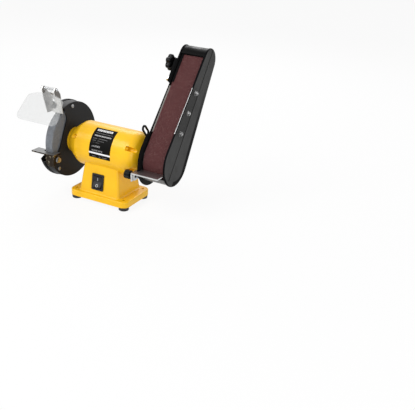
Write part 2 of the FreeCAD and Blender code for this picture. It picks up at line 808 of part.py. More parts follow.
def rotor_core():
    half = stator_length / 2
    radius = stator_bore_radius - air_gap
    body = rod(radius, -half, half)
    end = half + rotor_ring_length
    rings = tube(radius - 1.0, radius - 1.0 - rotor_ring, -end, end)
    return body.fuse(rings).cut(rod(shaft_core_radius, -end - 1, end + 1)).removeSplitter()


def motor_shaft():
    left_tip = cover_outside_x - shaft_overhang
    hub_end = plate_inside_x + drum_hub_gap
    steps = [(left_tip, 0), (left_tip, shaft_end_radius - 1), (left_tip + 1, shaft_end_radius),
             (shaft_shoulder_x, shaft_end_radius), (shaft_shoulder_x, bearing_bore_radius),
             (left_bearing_x + bearing_width, bearing_bore_radius),
             (left_bearing_x + bearing_width, shaft_core_radius),
             (right_bearing_x, shaft_core_radius), (right_bearing_x, bearing_bore_radius),
             (hub_end, bearing_bore_radius), (hub_end, shaft_end_radius),
             (belt_right - 2, shaft_end_radius), (belt_right - 1, shaft_end_radius - 1), (belt_right - 1, 0)]
    return turned(steps)


def bearing(x0):
    """Outer ring, inner ring and balls of one deep-groove bearing."""
    middle = x0 + bearing_width / 2
    pitch = (bearing_bore_radius + bearing_outer_radius) / 2
    groove = Part.makeTorus(pitch, ball_radius + 0.05, Vec(middle, 0, 0), Vec(1, 0, 0))
    outer = tube(bearing_outer_radius, bearing_outer_radius - bearing_wall, x0, x0 + bearing_width)
    outer = outer.cut(groove)
    inner = tube(bearing_bore_radius + bearing_wall, bearing_bore_radius, x0, x0 + bearing_width).cut(groove)
    balls = []
    for k in range(ball_count):
        y, z = polar(pitch, 360.0 * k / ball_count)
        balls.append(Part.makeSphere(ball_radius, Vec(middle, y, z)))
    return outer, inner, balls


# ---- grinding wheel and its guard ----
guard_y = -guard_forward
guard_z = guard_raise


def sector(start, end, reach, y, z, x0, x1):
    """Wedge about (y, z) between two angles, along X."""
    steps = max(2, int((end - start) / 30) + 1)
    points = [(y, z)]
    for k in range(steps + 1):
        points.append(polar(reach, start + (end - start) * k / steps, y, z))
    return prism_x(points, x0, x1)


def guard_opening(points, x0, x1, corner):
    """Prism whose corners that face the wheel are rounded."""
    block = prism_x(points, x0, x1)

    def inner_corner(edge):
        a, b = edge.Vertexes[0].Point, edge.Vertexes[-1].Point
        along = abs(a.y - b.y) < 1e-6 and abs(a.z - b.z) < 1e-6
        return along and math.hypot(a.y - guard_y, a.z - guard_z) < guard_radius - 8
    return fillet_where(block, corner, inner_corner)


def guard_inner():
    x0, x1 = guard_inside_x, guard_plate_x
    plate = rod(guard_radius, x0, x1, guard_y, guard_z)
    opening = guard_opening([(-38.0, 88.0), (-25.6, 53.8), (-53.0, -6.4), (-68.0, -25.5), (-86.0, -35.5),
                             (-120.0, -40.0), (-120.0, 100.0), (-42.0, 100.0)], x0 - 1, x1 + 1, 5.0)
    plate = plate.cut(opening)
    band = tube(guard_radius, guard_radius - guard_sheet, cover_inside_x, x1, guard_y, guard_z)
    keep = sector(band_start, band_end, 2 * guard_radius, guard_y, guard_z, cover_inside_x - 1, x1 + 1)
    body = plate.fuse(band.common(keep))
    lug = box(wheel_middle_x - 9, wheel_middle_x + 9, slip, slip + 1.8, 2.5, deflector_bolt_up + 8)
    body = body.fuse(on_deflector(lug)).cut(rod(clamp_flange_hub + 3.5, x0 - 1, x1 + 1))
    body = body.fuse(rod(rest_bolt_radius + 2.55, x0 - 1.0, x0, rest_bolt_y, rest_bolt_z))
    body = body.cut(rod(rest_bolt_radius + running, x0 - 5, x1 + 1, rest_bolt_y, rest_bolt_z))
    for angle in guard_screw_angles:
        y, z = polar(guard_screw_ring, angle, guard_y, guard_z)
        body = body.cut(rod(guard_screw_radius + 0.1, x0 - 1, x1 + 1, y, z))
    for y, z in mount_screw_places():
        body = body.cut(rod(mount_screw_radius + 0.25, x0 - 1, x1 + 1, y, z))
    bolt = Part.makeCylinder(deflector_bolt_radius + running, 20, Vec(wheel_middle_x, -5, deflector_bolt_up),
                             Vec(0, 1, 0))
    return body.cut(on_deflector(bolt)).removeSplitter()


def guard_cover():
    x0, x1 = cover_outside_x, cover_inside_x
    t = guard_sheet
    outer = guard_radius + cover_lip_gap + t
    plate = rod(outer, x0, x1, guard_y, guard_z)
    opening = guard_opening([(-36.0, 88.0), (-30.0, 50.0), (-50.0, 0.0), (-64.0, -17.0), (-88.0, -27.5),
                             (-120.0, -41.0), (-120.0, 100.0), (-40.0, 100.0)], x0 - 1, x1 + 1, 5.0)
    plate = plate.cut(opening)
    ring = tube(outer, guard_radius + cover_lip_gap, x1, x1 + cover_lip_depth, guard_y, guard_z)
    keep = sector(band_start, band_end - 8, 2 * guard_radius, guard_y, guard_z,
                  x0 - 1, x1 + cover_lip_depth + 1)
    body = plate.fuse(ring.common(keep))
    depth = cover_pan_depth
    pan = turned([(x1, 0), (x1, cover_pan_radius), (x0 - depth, cover_pan_radius - 4), (x0 - depth, 0)])
    hollow = turned([(x1 + 1, 0), (x1 + 1, cover_pan_radius - t), (x1, cover_pan_radius - t),
                     (x0 - depth + t, cover_pan_radius - 4 - t), (x0 - depth + t, 0)])
    body = body.fuse(pan).cut(hollow)
    for angle in guard_screw_angles:
        y, z = polar(guard_screw_ring, angle, guard_y, guard_z)
        body = body.cut(rod(guard_screw_radius + 0.1, x0 - 1, x1 + 1, y, z))
    return body.removeSplitter()


def guard_cover_screws():
    made = []
    for angle in guard_screw_angles:
        y, z = polar(guard_screw_ring, angle, guard_y, guard_z)
        top = guard_plate_x + guard_head_height
        head = rod(guard_head_radius, guard_plate_x, top, y, z)
        head = fillet_where(head, 1.2, lambda e: abs(e.BoundBox.XMin - top) < 0.01)
        shank = rod(guard_screw_radius, cover_outside_x - guard_nut_height - 1.3, guard_plate_x, y, z)
        screw = head.fuse(shank).removeSplitter()
        slot = box(top - 1.2, top + 0.2, y - guard_head_radius - 1, y + guard_head_radius + 1,
                   z - 0.5, z + 0.5)
        made.append(screw.cut(slot))
    return made


def guard_cover_nuts():
    made = []
    for angle in guard_screw_angles:
        y, z = polar(guard_screw_ring, angle, guard_y, guard_z)
        nut = hexagon(guard_nut_width, cover_outside_x - guard_nut_height, cover_outside_x, y, z)
        made.append(nut.cut(rod(guard_screw_radius, cover_outside_x - 5, cover_outside_x + 1, y, z)))
    return made


def guard_mount_screws():
    made = []
    for y, z in mount_screw_places():
        head = rod(mount_head_radius, guard_inside_x - mount_head_height, guard_inside_x, y, z)
        shank = rod(mount_screw_radius, guard_inside_x, guard_plate_x + 8, y, z)
        made.append(head.fuse(shank).removeSplitter())
    return made


def grinding_wheel():
    r, c = wheel_radius, 1.0
    x0, x1 = wheel_left_x, wheel_right_x
    return turned([(x0, wheel_bush_radius), (x0, r - c), (x0 + c, r),
                   (x1 - c, r), (x1, r - c), (x1, wheel_bush_radius)])


def wheel_bush():
    return tube(wheel_bush_radius, shaft_end_radius, wheel_left_x, wheel_right_x)


def wheel_blotters():
    return [tube(clamp_flange_radius, shaft_end_radius, wheel_right_x, wheel_right_x + blotter),
            tube(clamp_flange_radius, shaft_end_radius, wheel_left_x - blotter, wheel_left_x)]


def inner_clamp_flange():
    seat = wheel_right_x + blotter
    hub = tube(clamp_flange_hub, shaft_end_radius, seat, shaft_shoulder_x)
    disc = tube(clamp_flange_radius, shaft_end_radius, seat, seat + clamp_flange_sheet)
    return hub.fuse(disc).removeSplitter()


def outer_clamp_flange():
    seat = wheel_left_x - blotter
    end = seat - outer_flange_depth
    return turned([(seat, shaft_end_radius), (seat, clamp_flange_radius), (seat - 1.5, clamp_flange_radius),
                   (end, clamp_flange_radius - 7), (end, shaft_end_radius)])


def wheel_nut():
    face = wheel_left_x - blotter - outer_flange_depth
    end = face - wheel_nut_height
    return hexagon(shaft_nut_width, end, face).cut(rod(shaft_end_radius, end - 1, face + 1))


# ---- spark deflector and eye shield: Z along the web from its lower edge, Y backwards ----
def on_deflector(shape):
    return tilted(shape, deflector_lean, deflector_foot[0], deflector_foot[1])


def spark_deflector():
    x0, x1, t = deflector_left, deflector_right, deflector_sheet
    web = box(x0, x1, -t, 0, 0, deflector_height)
    d, h = ear_depth, ear_height
    top = [(-d, h - 4), (4 - d, h), (9 - d, h), (0, deflector_height)]
    left = prism_x([(0, 0), (5 - d, 2), (-d, 0.65 * h)] + top, x0, x0 + t)
    right = prism_x([(0, 0.57 * h), (-d / 3, 0.6 * h), (-d, 0.75 * h)] + top, x1 - t, x1)
    body = web.fuse([left, right])
    body = body.cut(rod(shield_rod_radius + 0.02, x0 - 1, x1 + 1, -shield_rod_out, shield_rod_up))
    r = deflector_bolt_radius + 0.25
    low = deflector_bolt_up - deflector_up - slip
    high = deflector_bolt_up + deflector_down + 5.0
    slot = box(wheel_middle_x - r, wheel_middle_x + r, -t - 1, 1, low, high)
    ends = [Part.makeCylinder(r, t + 2, Vec(wheel_middle_x, -t - 1, z), Vec(0, 1, 0)) for z in (low, high)]
    return body.cut(slot.fuse(ends)).removeSplitter()


def deflector_bolt():
    t = deflector_sheet + slip
    axis = Vec(0, 1, 0)
    up = deflector_bolt_up
    seat = -t - washer_sheet
    shank = Part.makeCylinder(deflector_bolt_radius, 12, Vec(wheel_middle_x, -t, up), axis)
    washer = Part.makeCylinder(deflector_washer_radius, washer_sheet, Vec(wheel_middle_x, seat, up), axis)
    head = hexagon(deflector_head_width, 0, deflector_head_height)
    head.rotate(Vec(0, 0, 0), Vec(0, 0, 1), -90)
    head.translate(Vec(wheel_middle_x, seat, up))
    return shank.fuse([washer, head]).removeSplitter()


def shield_rod():
    y, z = -shield_rod_out, shield_rod_up
    body = rod(shield_rod_radius, deflector_left - 3, deflector_right + 3, y, z)
    head = rod(3.6, deflector_left - 5, deflector_left - 2.5, y, z)
    cap = rod(3.2, deflector_right + 0.5, deflector_right + 2, y, z)
    return body.fuse([head, cap]).removeSplitter()


def eye_shield():
    """Clear sheet hanging from a sleeve on the rod; made hanging straight down, then swung forwards."""
    tongue, spread, t = shield_tongue, shield_spread, shield_thickness
    mid = (deflector_left + deflector_right) / 2
    outline = [(tongue / 2, 0), (tongue / 2, 1 - spread), (shield_top_width / 2, -spread),
               (shield_shoulder_width / 2, -shield_shoulder), (shield_bottom_width / 2, -shield_reach)]
    points = [Vec(mid + x, -t / 2, z) for x, z in outline]
    points += [Vec(mid - x, -t / 2, z) for x, z in reversed(outline)]
    points.append(points[0])
    sheet = Part.Face(Part.makePolygon(points)).extrude(Vec(0, t, 0))

    def corner(edge, low, high):
        b = edge.BoundBox
        return b.XLength < 0.01 and b.ZLength < 0.01 and low < b.ZMin < high
    sheet = fillet_where(sheet, shield_corner, lambda e: corner(e, -shield_reach - 1, -shield_reach + 1))
    sheet = fillet_where(sheet, 7.0, lambda e: corner(e, -spread - 0.5, -spread + 0.5))
    sheet = fillet_where(sheet, 11.0, lambda e: corner(e, -shield_shoulder - 0.5, -shield_shoulder + 0.5))
    half = (deflector_right - deflector_left) / 2 - deflector_sheet - slip
    sleeve = rod(shield_rod_radius + sleeve_wall, mid - half + 1.5, mid + half - 1.5)
    bore = rod(shield_rod_radius + running, mid - 2 * half, mid + 2 * half)
    body = sheet.fuse(sleeve).cut(bore).removeSplitter()
    body.rotate(Vec(0, 0, 0), Vec(1, 0, 0), -shield_slope - deflector_lean)
    body.translate(Vec(0, -shield_rod_out, shield_rod_up))
    return body


# ---- wheel tool rest ----
def tool_rest():
    top, t = rest_top, rest_sheet
    plate = box(rest_left, rest_right, rest_front, rest_back, top - t, top)
    wheel_front = -math.sqrt(wheel_radius ** 2 - rest_top ** 2)
    notch = box(wheel_left_x - rest_notch_gap, wheel_right_x + rest_notch_gap, wheel_front - rest_notch_gap,
                rest_back + 1, top - t - 1, top + 1)
    flange_x = guard_plate_x + slip
    low, f = rest_bolt_z - rest_flange_low, rest_flange_sheet
    flange = box(flange_x, flange_x + f, rest_front + f, rest_back + 12, low, top)
    flange = flange.cut(box(flange_x - 1, flange_x + f + 1, rest_back, rest_back + 20, top - t - 8, top + 1))
    apron = box(rest_apron_left, rest_right, rest_front, rest_front + f, low, top)
    apron = fillet_where(apron, rest_apron_corner, lambda e:
                         e.BoundBox.YLength > 1 and e.BoundBox.XLength < 0.01
                         and e.BoundBox.ZMax < low + 0.01 and e.BoundBox.XMin < rest_apron_left + 0.01)
    body = plate.cut(notch).fuse([flange, apron])
    slot = slot_x(rest_bolt_radius + 0.25, flange_x - 1, flange_x + f + 1,
                  (rest_bolt_y - rest_in, rest_bolt_z), (rest_bolt_y + rest_out, rest_bolt_z))
    return body.cut(slot).removeSplitter()


def tool_rest_bolt():
    face = guard_plate_x + slip + rest_flange_sheet + slip
    seat = face + washer_sheet
    body = rod(rest_bolt_radius, guard_inside_x - 0.9, face, rest_bolt_y, rest_bolt_z)
    washer = rod(rest_washer_radius, face, seat, rest_bolt_y, rest_bolt_z)
    head = hexagon(bolt_head_width, seat, seat + bolt_head_height, rest_bolt_y, rest_bolt_z)
    return body.fuse([washer, head]).removeSplitter()


# ---- belt arm: Z along the arm, Y square to it, origin on the shaft axis ----
def loop_block(drum, idler, x0, x1):
    """Solid between two tangent lines and two circles: the shape of the belt's path."""
    lean = math.asin((drum - idler) / arm_length)
    cy, sy = math.cos(lean), math.sin(lean)
    corners = [(drum * cy, drum * sy), (idler * cy, arm_length + idler * sy),
               (-idler * cy, arm_length + idler * sy), (-drum * cy, drum * sy)]
    top = Vec(x0, 0, arm_length + idler)
    bottom = Vec(x0, 0, -drum)
    p = [Vec(x0, y, z) for y, z in corners]
    edges = [Part.makeLine(p[0], p[1]), Part.Arc(p[1], top, p[2]).toShape(),
             Part.makeLine(p[2], p[3]), Part.Arc(p[3], bottom, p[0]).toShape()]
    return Part.Face(Part.Wire(edges)).extrude(Vec(x1 - x0, 0, 0))


def front_run(up, behind):
    """Point on the front run of the belt: distance up the arm, distance behind the belt's outer face."""
    y = -belt_drum_radius / math.cos(wedge) + up * math.tan(wedge)
    return y + behind / math.cos(wedge)


def sanding_belt():
    t = belt_thickness
    outer = loop_block(belt_drum_radius, belt_idler_radius, belt_left, belt_right)
    inner = loop_block(belt_drum_radius - t, belt_idler_radius - t, belt_left - 1, belt_right + 1)
    return outer.cut(inner)


def to_arm(y, z):
    """A level place beside the shaft, in the arm's own directions."""
    a = math.radians(arm_tilt)
    return y * math.cos(a) - z * math.sin(a), y * math.sin(a) + z * math.cos(a)


def to_level(y, z):
    """The other way round: a place on the arm, in level directions."""
    a = math.radians(arm_tilt)
    return y * math.cos(a) + z * math.sin(a), z * math.cos(a) - y * math.sin(a)


def back_plate():
    drum, tip = belt_drum_radius + back_plate_rim, belt_idler_radius + back_plate_tip
    body = loop_block(drum, tip, back_plate_x, plate_inside_x)
    body = body.fuse(rod(back_plate_lobe, back_plate_x, plate_inside_x, *back_plate_lobe_at)).removeSplitter()
    lower, upper = platen_low - 5, platen_high + 6
    cut = prism_x([(front_run(lower, -1.5), lower), (front_run(upper, 1.0), upper), (-120, upper + 4),
                   (-120, lower - 12), (front_run(lower - 10, -9.0), lower - 10)],
                  back_plate_x - 1, plate_inside_x + 1)
    body = body.cut(cut)
    body = body.cut(rod(drum_hub_radius + 1, back_plate_x - 1, plate_inside_x + 1))
    body = body.cut(slot_x(idler_axle_radius + slip, back_plate_x - 1, plate_inside_x + 1,
                           (0, arm_length - tension_travel), (0, arm_length)))
    for z in platen_bolt_rows:
        y = front_run(z, belt_thickness + platen_bolt_set)
        body = body.cut(rod(platen_bolt_radius + 0.1, back_plate_x - 1, plate_inside_x + 1, y, z))
    for y, z in guide_bolts_at:
        body = body.cut(rod(pivot_radius, back_plate_x - 1, plate_inside_x + 1, y, z))
    body = body.cut(rod(pivot_radius, back_plate_x - 1, plate_inside_x + 1, 0, lever_pivot_s))
    for place in bracket_bolts:
        body = body.cut(rod(bracket_bolt_radius, back_plate_x - 1, plate_inside_x + 1, *to_arm(*place)))
    return body


def arm_band(drum_rim, tip_rim):
    """Sheet band round the belt between back plate and side cover."""
    x0, x1 = plate_inside_x, cover_edge_x - 0.2
    drum, tip = belt_drum_radius + drum_rim, belt_idler_radius + tip_rim
    outer = loop_block(drum, tip, x0, x1)
    inner = loop_block(drum - band_sheet, tip - band_sheet, x0 - 1, x1 + 1)
    return outer.cut(inner)


def lower_band():
    keep = sector(band_front_angle, band_back_angle, arm_length, 0, 0, plate_inside_x - 1, cover_edge_x + 1)
    return arm_band(band_rim, band_tip).common(keep)


def top_guard():
    far = 0.85 * arm_length
    ly, lz = polar(far, band_back_angle)
    fy, fz = polar(far, guard_lip_angle)
    keep = prism_x([(0, 0), (ly, lz), (far, arm_length + far), (-far, arm_length + far),
                    (fy, arm_length + fz), (0, arm_length)], plate_inside_x - 1, cover_edge_x + 1)
    return arm_band(band_rim, band_tip).common(keep)


def front_zone(x):
    """Everything to the right of x over the front half of the cover's face."""
    top, low = arm_length + belt_idler_radius, -belt_drum_radius
    upper, lower = cover_crease
    return prism_x([(upper, top), (lower, low), (-2 * back_plate_reach, low),
                    (-2 * back_plate_reach, top)], x, cover_face_x + 1)


def side_cover():
    drum, tip = belt_drum_radius + cover_rim, belt_idler_radius + cover_tip
    t, b = cover_sheet, cover_bevel
    outer = loop_block(drum, tip, cover_edge_x, cover_face_x)
    outer = fillet_where(outer, b, lambda e: abs(e.BoundBox.XMin - cover_face_x) < 0.01)
    inner = loop_block(drum - t, tip - t, cover_edge_x - 1, cover_face_x - t)
    inner = fillet_where(inner, b - t, lambda e: abs(e.BoundBox.XMin - cover_face_x + t) < 0.01)
    outer = outer.cut(front_zone(cover_face_x - cover_recess))
    body = outer.cut(inner.cut(front_zone(cover_face_x - cover_recess - t)))
    for z in platen_bolt_rows:
        y = front_run(z, belt_thickness + platen_bolt_set)
        body = body.cut(rod(platen_bolt_radius + 0.1, cover_edge_x, cover_face_x + 1, y, z))
    return body


def platen():
    """Backing plate under the front run, with a flange down each side for its bolts."""
    gap = 0.05
    x0, x1 = plate_inside_x, cover_edge_x - 0.4
    t = platen_sheet
    low, high = platen_low, platen_high

    def strip(near, deep, xa, xb):
        near, deep = belt_thickness + near, belt_thickness + deep
        return prism_x([(front_run(low, near), low), (front_run(high, near), high),
                        (front_run(high, deep), high), (front_run(low, deep), low)], xa, xb)
    body = strip(gap, gap + t, x0, x1)
    body = body.fuse([strip(gap, platen_flange, x0, x0 + t), strip(gap, platen_flange, x1 - t, x1)])
    for z in platen_bolt_rows:
        y = front_run(z, belt_thickness + platen_bolt_set)
        body = body.cut(rod(platen_bolt_radius + 0.1, x0 - 1, x1 + 1, y, z))
    return body.removeSplitter()


def platen_bolts():
    made = []
    for z in platen_bolt_rows:
        y = front_run(z, belt_thickness + platen_bolt_set)
        shank = rod(platen_bolt_radius, back_plate_x, nut_seat_x + 7, y, z)
        head = hexagon(platen_nut_width, back_plate_x - 3.5, back_plate_x, y, z)
        made.append(shank.fuse(head).removeSplitter())
    return made


def platen_nuts():
    made = []
    for z in platen_bolt_rows:
        y = front_run(z, belt_thickness + platen_bolt_set)
        washer = rod(0.66 * platen_nut_width, nut_seat_x, nut_seat_x + 1.0, y, z)
        body = washer.fuse(hexagon(platen_nut_width, nut_seat_x + 1.0, nut_seat_x + 5.0, y, z))
        made.append(body.cut(rod(platen_bolt_radius, nut_seat_x - 1, nut_seat_x + 9, y, z)).removeSplitter())
    return made


def drive_drum():
    left, right = belt_left - 1, belt_right + 1
    shell = tube(drum_radius, drum_radius - drum_wall, left, right)
    web_x, half = (left + right) / 2, drum_web / 2
    web = tube(drum_radius - drum_wall + 0.5, shaft_end_radius, web_x - half, web_x + half)
    hub = tube(drum_hub_radius, shaft_end_radius, plate_inside_x + drum_hub_gap, web_x + drum_hub_past)
    body = shell.fuse([web, hub])
    for k in range(4):
        y, z = polar(drum_hole_ring, 45 + 90 * k)
        body = body.cut(rod(drum_hole_radius, web_x - half - 1, web_x + half + 1, y, z))
    return body.removeSplitter()


def drum_nut():
    x0 = (belt_left + belt_right) / 2 + drum_hub_past
    x1 = x0 + 1.5
    nut = hexagon(shaft_nut_width, x1, x1 + wheel_nut_height).fuse(rod(drum_hub_radius - 1, x0, x1))
    return nut.cut(rod(shaft_end_radius, x0 - 1, x1 + wheel_nut_height + 1)).removeSplitter()


def idler_wheel():
    left, right = belt_left - 1, belt_right + 1
    body = tube(idler_radius, idler_axle_radius + 3, left, right)
    for x0 in (left - 1, right - idler_bearing_width):
        body = body.cut(rod(idler_bearing_radius, x0, x0 + idler_bearing_width + 1))
    body = body.cut(tube(idler_radius - 3.5, idler_bearing_radius + 2, left - 1, left + 15))
    return body.cut(tube(idler_radius - 3.5, idler_bearing_radius + 2, right - 15, right + 1))


def idler_bearings():
    """The races of the two idler bearings turn with the idler; their bore runs on the axle."""
    left, right = belt_left - 1, belt_right + 1
    w = idler_bearing_width
    return [tube(idler_bearing_radius, idler_axle_radius + running, left, left + w),
            tube(idler_bearing_radius, idler_axle_radius + running, right - w, right)]


def idler_axle():
    x0 = carrier_x
    body = rod(idler_axle_radius, x0, belt_right + 4)
    collar = tube(8.0, idler_axle_radius, plate_inside_x + slip, belt_left - 1 - slip)
    nut = hexagon(13.0, belt_right + 1 + slip, belt_right + 4.5)
    head = hexagon(13.0, x0 - 5, x0)
    body = body.fuse([collar, nut, head]).removeSplitter()
    body.translate(Vec(0, 0, arm_length))
    return body


carrier_x = back_plate_x - slip - carrier_sheet
carrier_foot = lever_pivot_s + cam_throw * math.cos(math.radians(cam_angle)) + cam_radius + slip


def idler_carrier():
    """Strip that slides along the outside of the back plate and holds the idler's axle."""
    h = carrier_half_width
    x0, x1 = carrier_x, back_plate_x - slip
    body = box(x0, x1, -h, h, carrier_foot, arm_length)
    body = body.fuse(rod(h, x0, x1, 0, arm_length))
    low = guide_bolts_at[1][1] - 9
    ear = round_upright(box(x0, x1, knob_n - 11, -h + 4, low, knob_s + 9), 3.0)
    body = body.fuse(ear).cut(rod(idler_axle_radius, x0 - 1, x1 + 1, 0, arm_length))
    for y, z in guide_bolts_at:
        # the carrier drops by its travel, so each slot reaches up from its bolt
        body = body.cut(slot_x(guide_bolt_radius + running, x0 - 1, x1 + 1, (y, z - guide_slack),
                               (y, z + tension_travel + guide_slack)))
    return body.cut(rod(stud_radius + running, x0 - 1, x1 + 1, knob_n, knob_s)).removeSplitter()


def guide_bolts():
    made = []
    face = carrier_x - slip
    seat = face - washer_sheet
    for y, z in guide_bolts_at:
        washer = rod(guide_washer_radius, seat, face, y, z)
        head = hexagon(bolt_head_width, seat - bolt_head_height - 1, seat, y, z)
        shank = rod(pivot_radius, back_plate_x, plate_inside_x, y, z)
        body = rod(guide_bolt_radius, face, back_plate_x, y, z).fuse([washer, head, shank])
        made.append(body.removeSplitter())
    return made


def tracking_knob():
    """Lobed knob on a stud that bears on the back plate."""
    x1 = carrier_x - knob_standoff
    x0 = x1 - knob_depth
    body = rod(knob_radius - 2.5, x0, x1)
    for k in range(knob_lobes):
        y, z = polar(knob_radius - knob_lobe_radius, 360 * k / knob_lobes)
        body = body.fuse(rod(knob_lobe_radius, x0, x1, y, z))
    body = body.removeSplitter()
    body = body.fuse(rod(knob_neck_radius, x1 - 1, x1 + 1))
    body = body.fuse(rod(stud_radius, x1, back_plate_x - slip)).removeSplitter()
    body.translate(Vec(0, knob_n, knob_s))
    return body


def tension_lever():
    """Lever with a finger loop, and the cam that lifts the carrier."""
    x1 = carrier_x - slip
    x0 = x1 - lever_sheet
    eye_start, eye_end = lever_eye
    body = slot_x(lever_radius, x0, x1, (0, 0), lever_elbow)
    body = body.fuse([rod(lever_boss_radius, x0, x1), slot_x(lever_radius, x0, x1, lever_elbow, eye_start),
                      slot_x(lever_eye_radius, x0, x1, eye_start, eye_end)])
    body = body.cut(slot_x(lever_hole_radius, x0 - 1, x1 + 1, eye_start, eye_end))
    cam = rod(cam_radius, x1, back_plate_x - slip, *polar(cam_throw, cam_angle))
    body = body.fuse(cam).cut(rod(pivot_radius + running, x0 - 1, back_plate_x, 0, 0)).removeSplitter()
    body.translate(Vec(0, 0, lever_pivot_s))
    return body


def lever_bolt():
    x1 = carrier_x - slip - lever_sheet - slip
    head = hexagon(bolt_head_width, x1 - bolt_head_height, x1, 0, lever_pivot_s)
    washer = rod(guide_washer_radius, x1 - washer_sheet, x1, 0, lever_pivot_s)
    shank = rod(pivot_radius, x1, plate_inside_x + 3, 0, lever_pivot_s)
    return head.fuse([washer, shank]).removeSplitter()


def arm_collar():
    """Split ring on the motor's spigot that carries the back plate."""
    body = tube(collar_radius, spigot_radius + running, collar_x, back_plate_x)
    split = box(collar_x - 1, back_plate_x + 1, 0, collar_radius + collar_ear + 7,
                -collar_split / 2, collar_split / 2)
    ears = box(collar_x, back_plate_x, collar_radius - 4, collar_radius + collar_ear, -9, 9)
    ears = round_upright(ears, 3.0)
    body = body.fuse(ears.cut(rod(spigot_radius + 2, collar_x - 1, back_plate_x + 1))).cut(split)
    mid = (collar_x + back_plate_x) / 2
    body = body.cut(Part.makeCylinder(clamp_bolt_radius, 40, Vec(mid, collar_radius + clamp_bolt_out, -20)))
    return body.removeSplitter()


def clamp_bolt():
    mid = (collar_x + back_plate_x) / 2
    y = collar_radius + clamp_bolt_out
    shank = Part.makeCylinder(clamp_bolt_radius, 26, Vec(mid, y, -15))
    head = Part.makeCylinder(clamp_head_radius, 4.5, Vec(mid, y, 9))
    nut = Part.makeCylinder(clamp_head_radius, 4.0, Vec(mid, y, -13))
    return shank.fuse([head, nut]).removeSplitter()


# ---- belt work rest: level at rest, so built about the shaft axis like the wheel's ----
bracket_bolts = ((-37.5, -29.5), (-34.0, -22.0))
bracket_bolt_radius = 2.0     # M4
bracket_back = -30.0
bracket_x = back_plate_x - bracket_sheet


def rest_bracket():
    """Strip bolted to the back plate that reaches forward to the rest's knob."""
    top = work_rest_top - work_rest_sheet - 1
    body = box(bracket_x, back_plate_x, work_knob_y - 9, bracket_back, work_knob_z - 9, top)
    body = round_upright(body, 6.0)
    body = body.cut(rod(stud_radius + running, bracket_x - 1, back_plate_x + 1, work_knob_y, work_knob_z))
    for y, z in bracket_bolts:
        body = body.cut(rod(bracket_bolt_radius, bracket_x - 1, back_plate_x + 1, y, z))
    return body


def bracket_screws():
    made = []
    r = bracket_bolt_radius
    for place in bracket_bolts:
        y, z = to_arm(*place)
        body = rod(r, bracket_x, plate_inside_x, y, z).fuse(rod(1.75 * r, bracket_x - 2.5, bracket_x, y, z))
        made.append(body.removeSplitter())
    return made


def work_rest():
    top, t = work_rest_top, work_rest_sheet
    flange_x1 = bracket_x - slip
    flange_x0 = flange_x1 - work_flange_sheet
    drum_front = -math.sqrt(belt_drum_radius ** 2 - work_rest_top ** 2)
    back = drum_front - work_rest_gap
    plate = box(flange_x0, work_rest_right, work_rest_front, back, top - t, top)
    corner = [e for e in plate.Edges if e.BoundBox.ZLength > 1 and e.BoundBox.XMin > work_rest_right - 0.01
              and e.BoundBox.YMin > back - 0.01]
    plate = plate.makeChamfer(work_rest_chamfer, corner)
    lobe_y, lobe_z = to_level(*back_plate_lobe_at)
    plate_front = lobe_y - math.sqrt(back_plate_lobe ** 2 - (top - lobe_z) ** 2)
    rim = box(back_plate_x - 1, plate_inside_x + 1, plate_front - work_rest_in - 1, back + 1,
              top - t - 1, top + 1)
    plate = plate.cut(rim)
    flange = box(flange_x0, flange_x1, work_rest_front, back, work_knob_z - 9, top)
    body = plate.fuse(flange)
    slot = slot_x(stud_radius + 0.2, flange_x0 - 1, flange_x1 + 1, (work_knob_y - work_rest_in, work_knob_z),
                  (work_knob_y + work_rest_out, work_knob_z))
    return body.cut(slot).removeSplitter()


def work_rest_washers():
    x1 = bracket_x - 2 * slip - work_flange_sheet
    bore = stud_radius + running
    return [tube(wide_washer_radius, bore, x1 - 1.8, x1, work_knob_y, work_knob_z),
            tube(small_washer_radius, bore, x1 - 3.6, x1 - 1.9, work_knob_y, work_knob_z)]


def work_rest_knob():
    x1 = bracket_x - 2 * slip - work_flange_sheet - 4.0
    x0 = x1 - work_knob_length
    y, z = work_knob_y, work_knob_z
    neck = x1 - work_knob_neck
    grip = rod(work_knob_radius, x0, neck, y, z)
    grip = fillet_where(grip, 1.5, lambda e: abs(e.BoundBox.XMin - x0) < 0.01 and e.BoundBox.XLength < 0.01)
    for k in range(work_knob_grooves):
        gy, gz = polar(work_knob_radius + 0.8, 360 * k / work_knob_grooves, y, z)
        grip = grip.cut(rod(1.8, x0 - 1, x1, gy, gz))
    body = grip.fuse([rod(6.0, neck, x1, y, z), rod(stud_radius, x1, back_plate_x, y, z)])
    return body.removeSplitter()


# ---- build and write every piece ----
os.makedirs("parts", exist_ok=True)

save("base_casting", base_casting())
save("rubber_feet", *rubber_feet())
save("base_plate", base_plate())
save("base_screws", *base_plate_screws(), *saddle_screws())
save("switch_housing", on_front(switch_box()))
save("switch_rocker", on_front(rocker()))
save("cord_gland", cord_gland())
save("run_capacitor", run_capacitor())
save("capacitor_clip", capacitor_clip())
save("terminal_block", terminal_block())

save("motor_housing", on_shaft(motor_housing()))
save("rating_plate", on_shaft(rating_plate()))
save("left_end_bell", on_shaft(left_bell()))
save("right_end_bell", on_shaft(right_bell()))
save("end_bell_screws", *[on_shaft(s) for s in bell_screws()])
save("stator_core", on_shaft(stator_core()))
save("stator_windings", on_shaft(stator_windings()))
save("rotor_core", on_shaft(rotor_core()))
save("motor_shaft", on_shaft(motor_shaft()))
left_outer, left_inner, left_balls = bearing(left_bearing_x)
right_outer, right_inner, right_balls = bearing(right_bearing_x)
save("bearing_outer_races", on_shaft(left_outer), on_shaft(right_outer))
save("bearing_inner_races", on_shaft(left_inner), on_shaft(right_inner))
save("bearing_balls", *[on_shaft(b) for b in left_balls + right_balls])

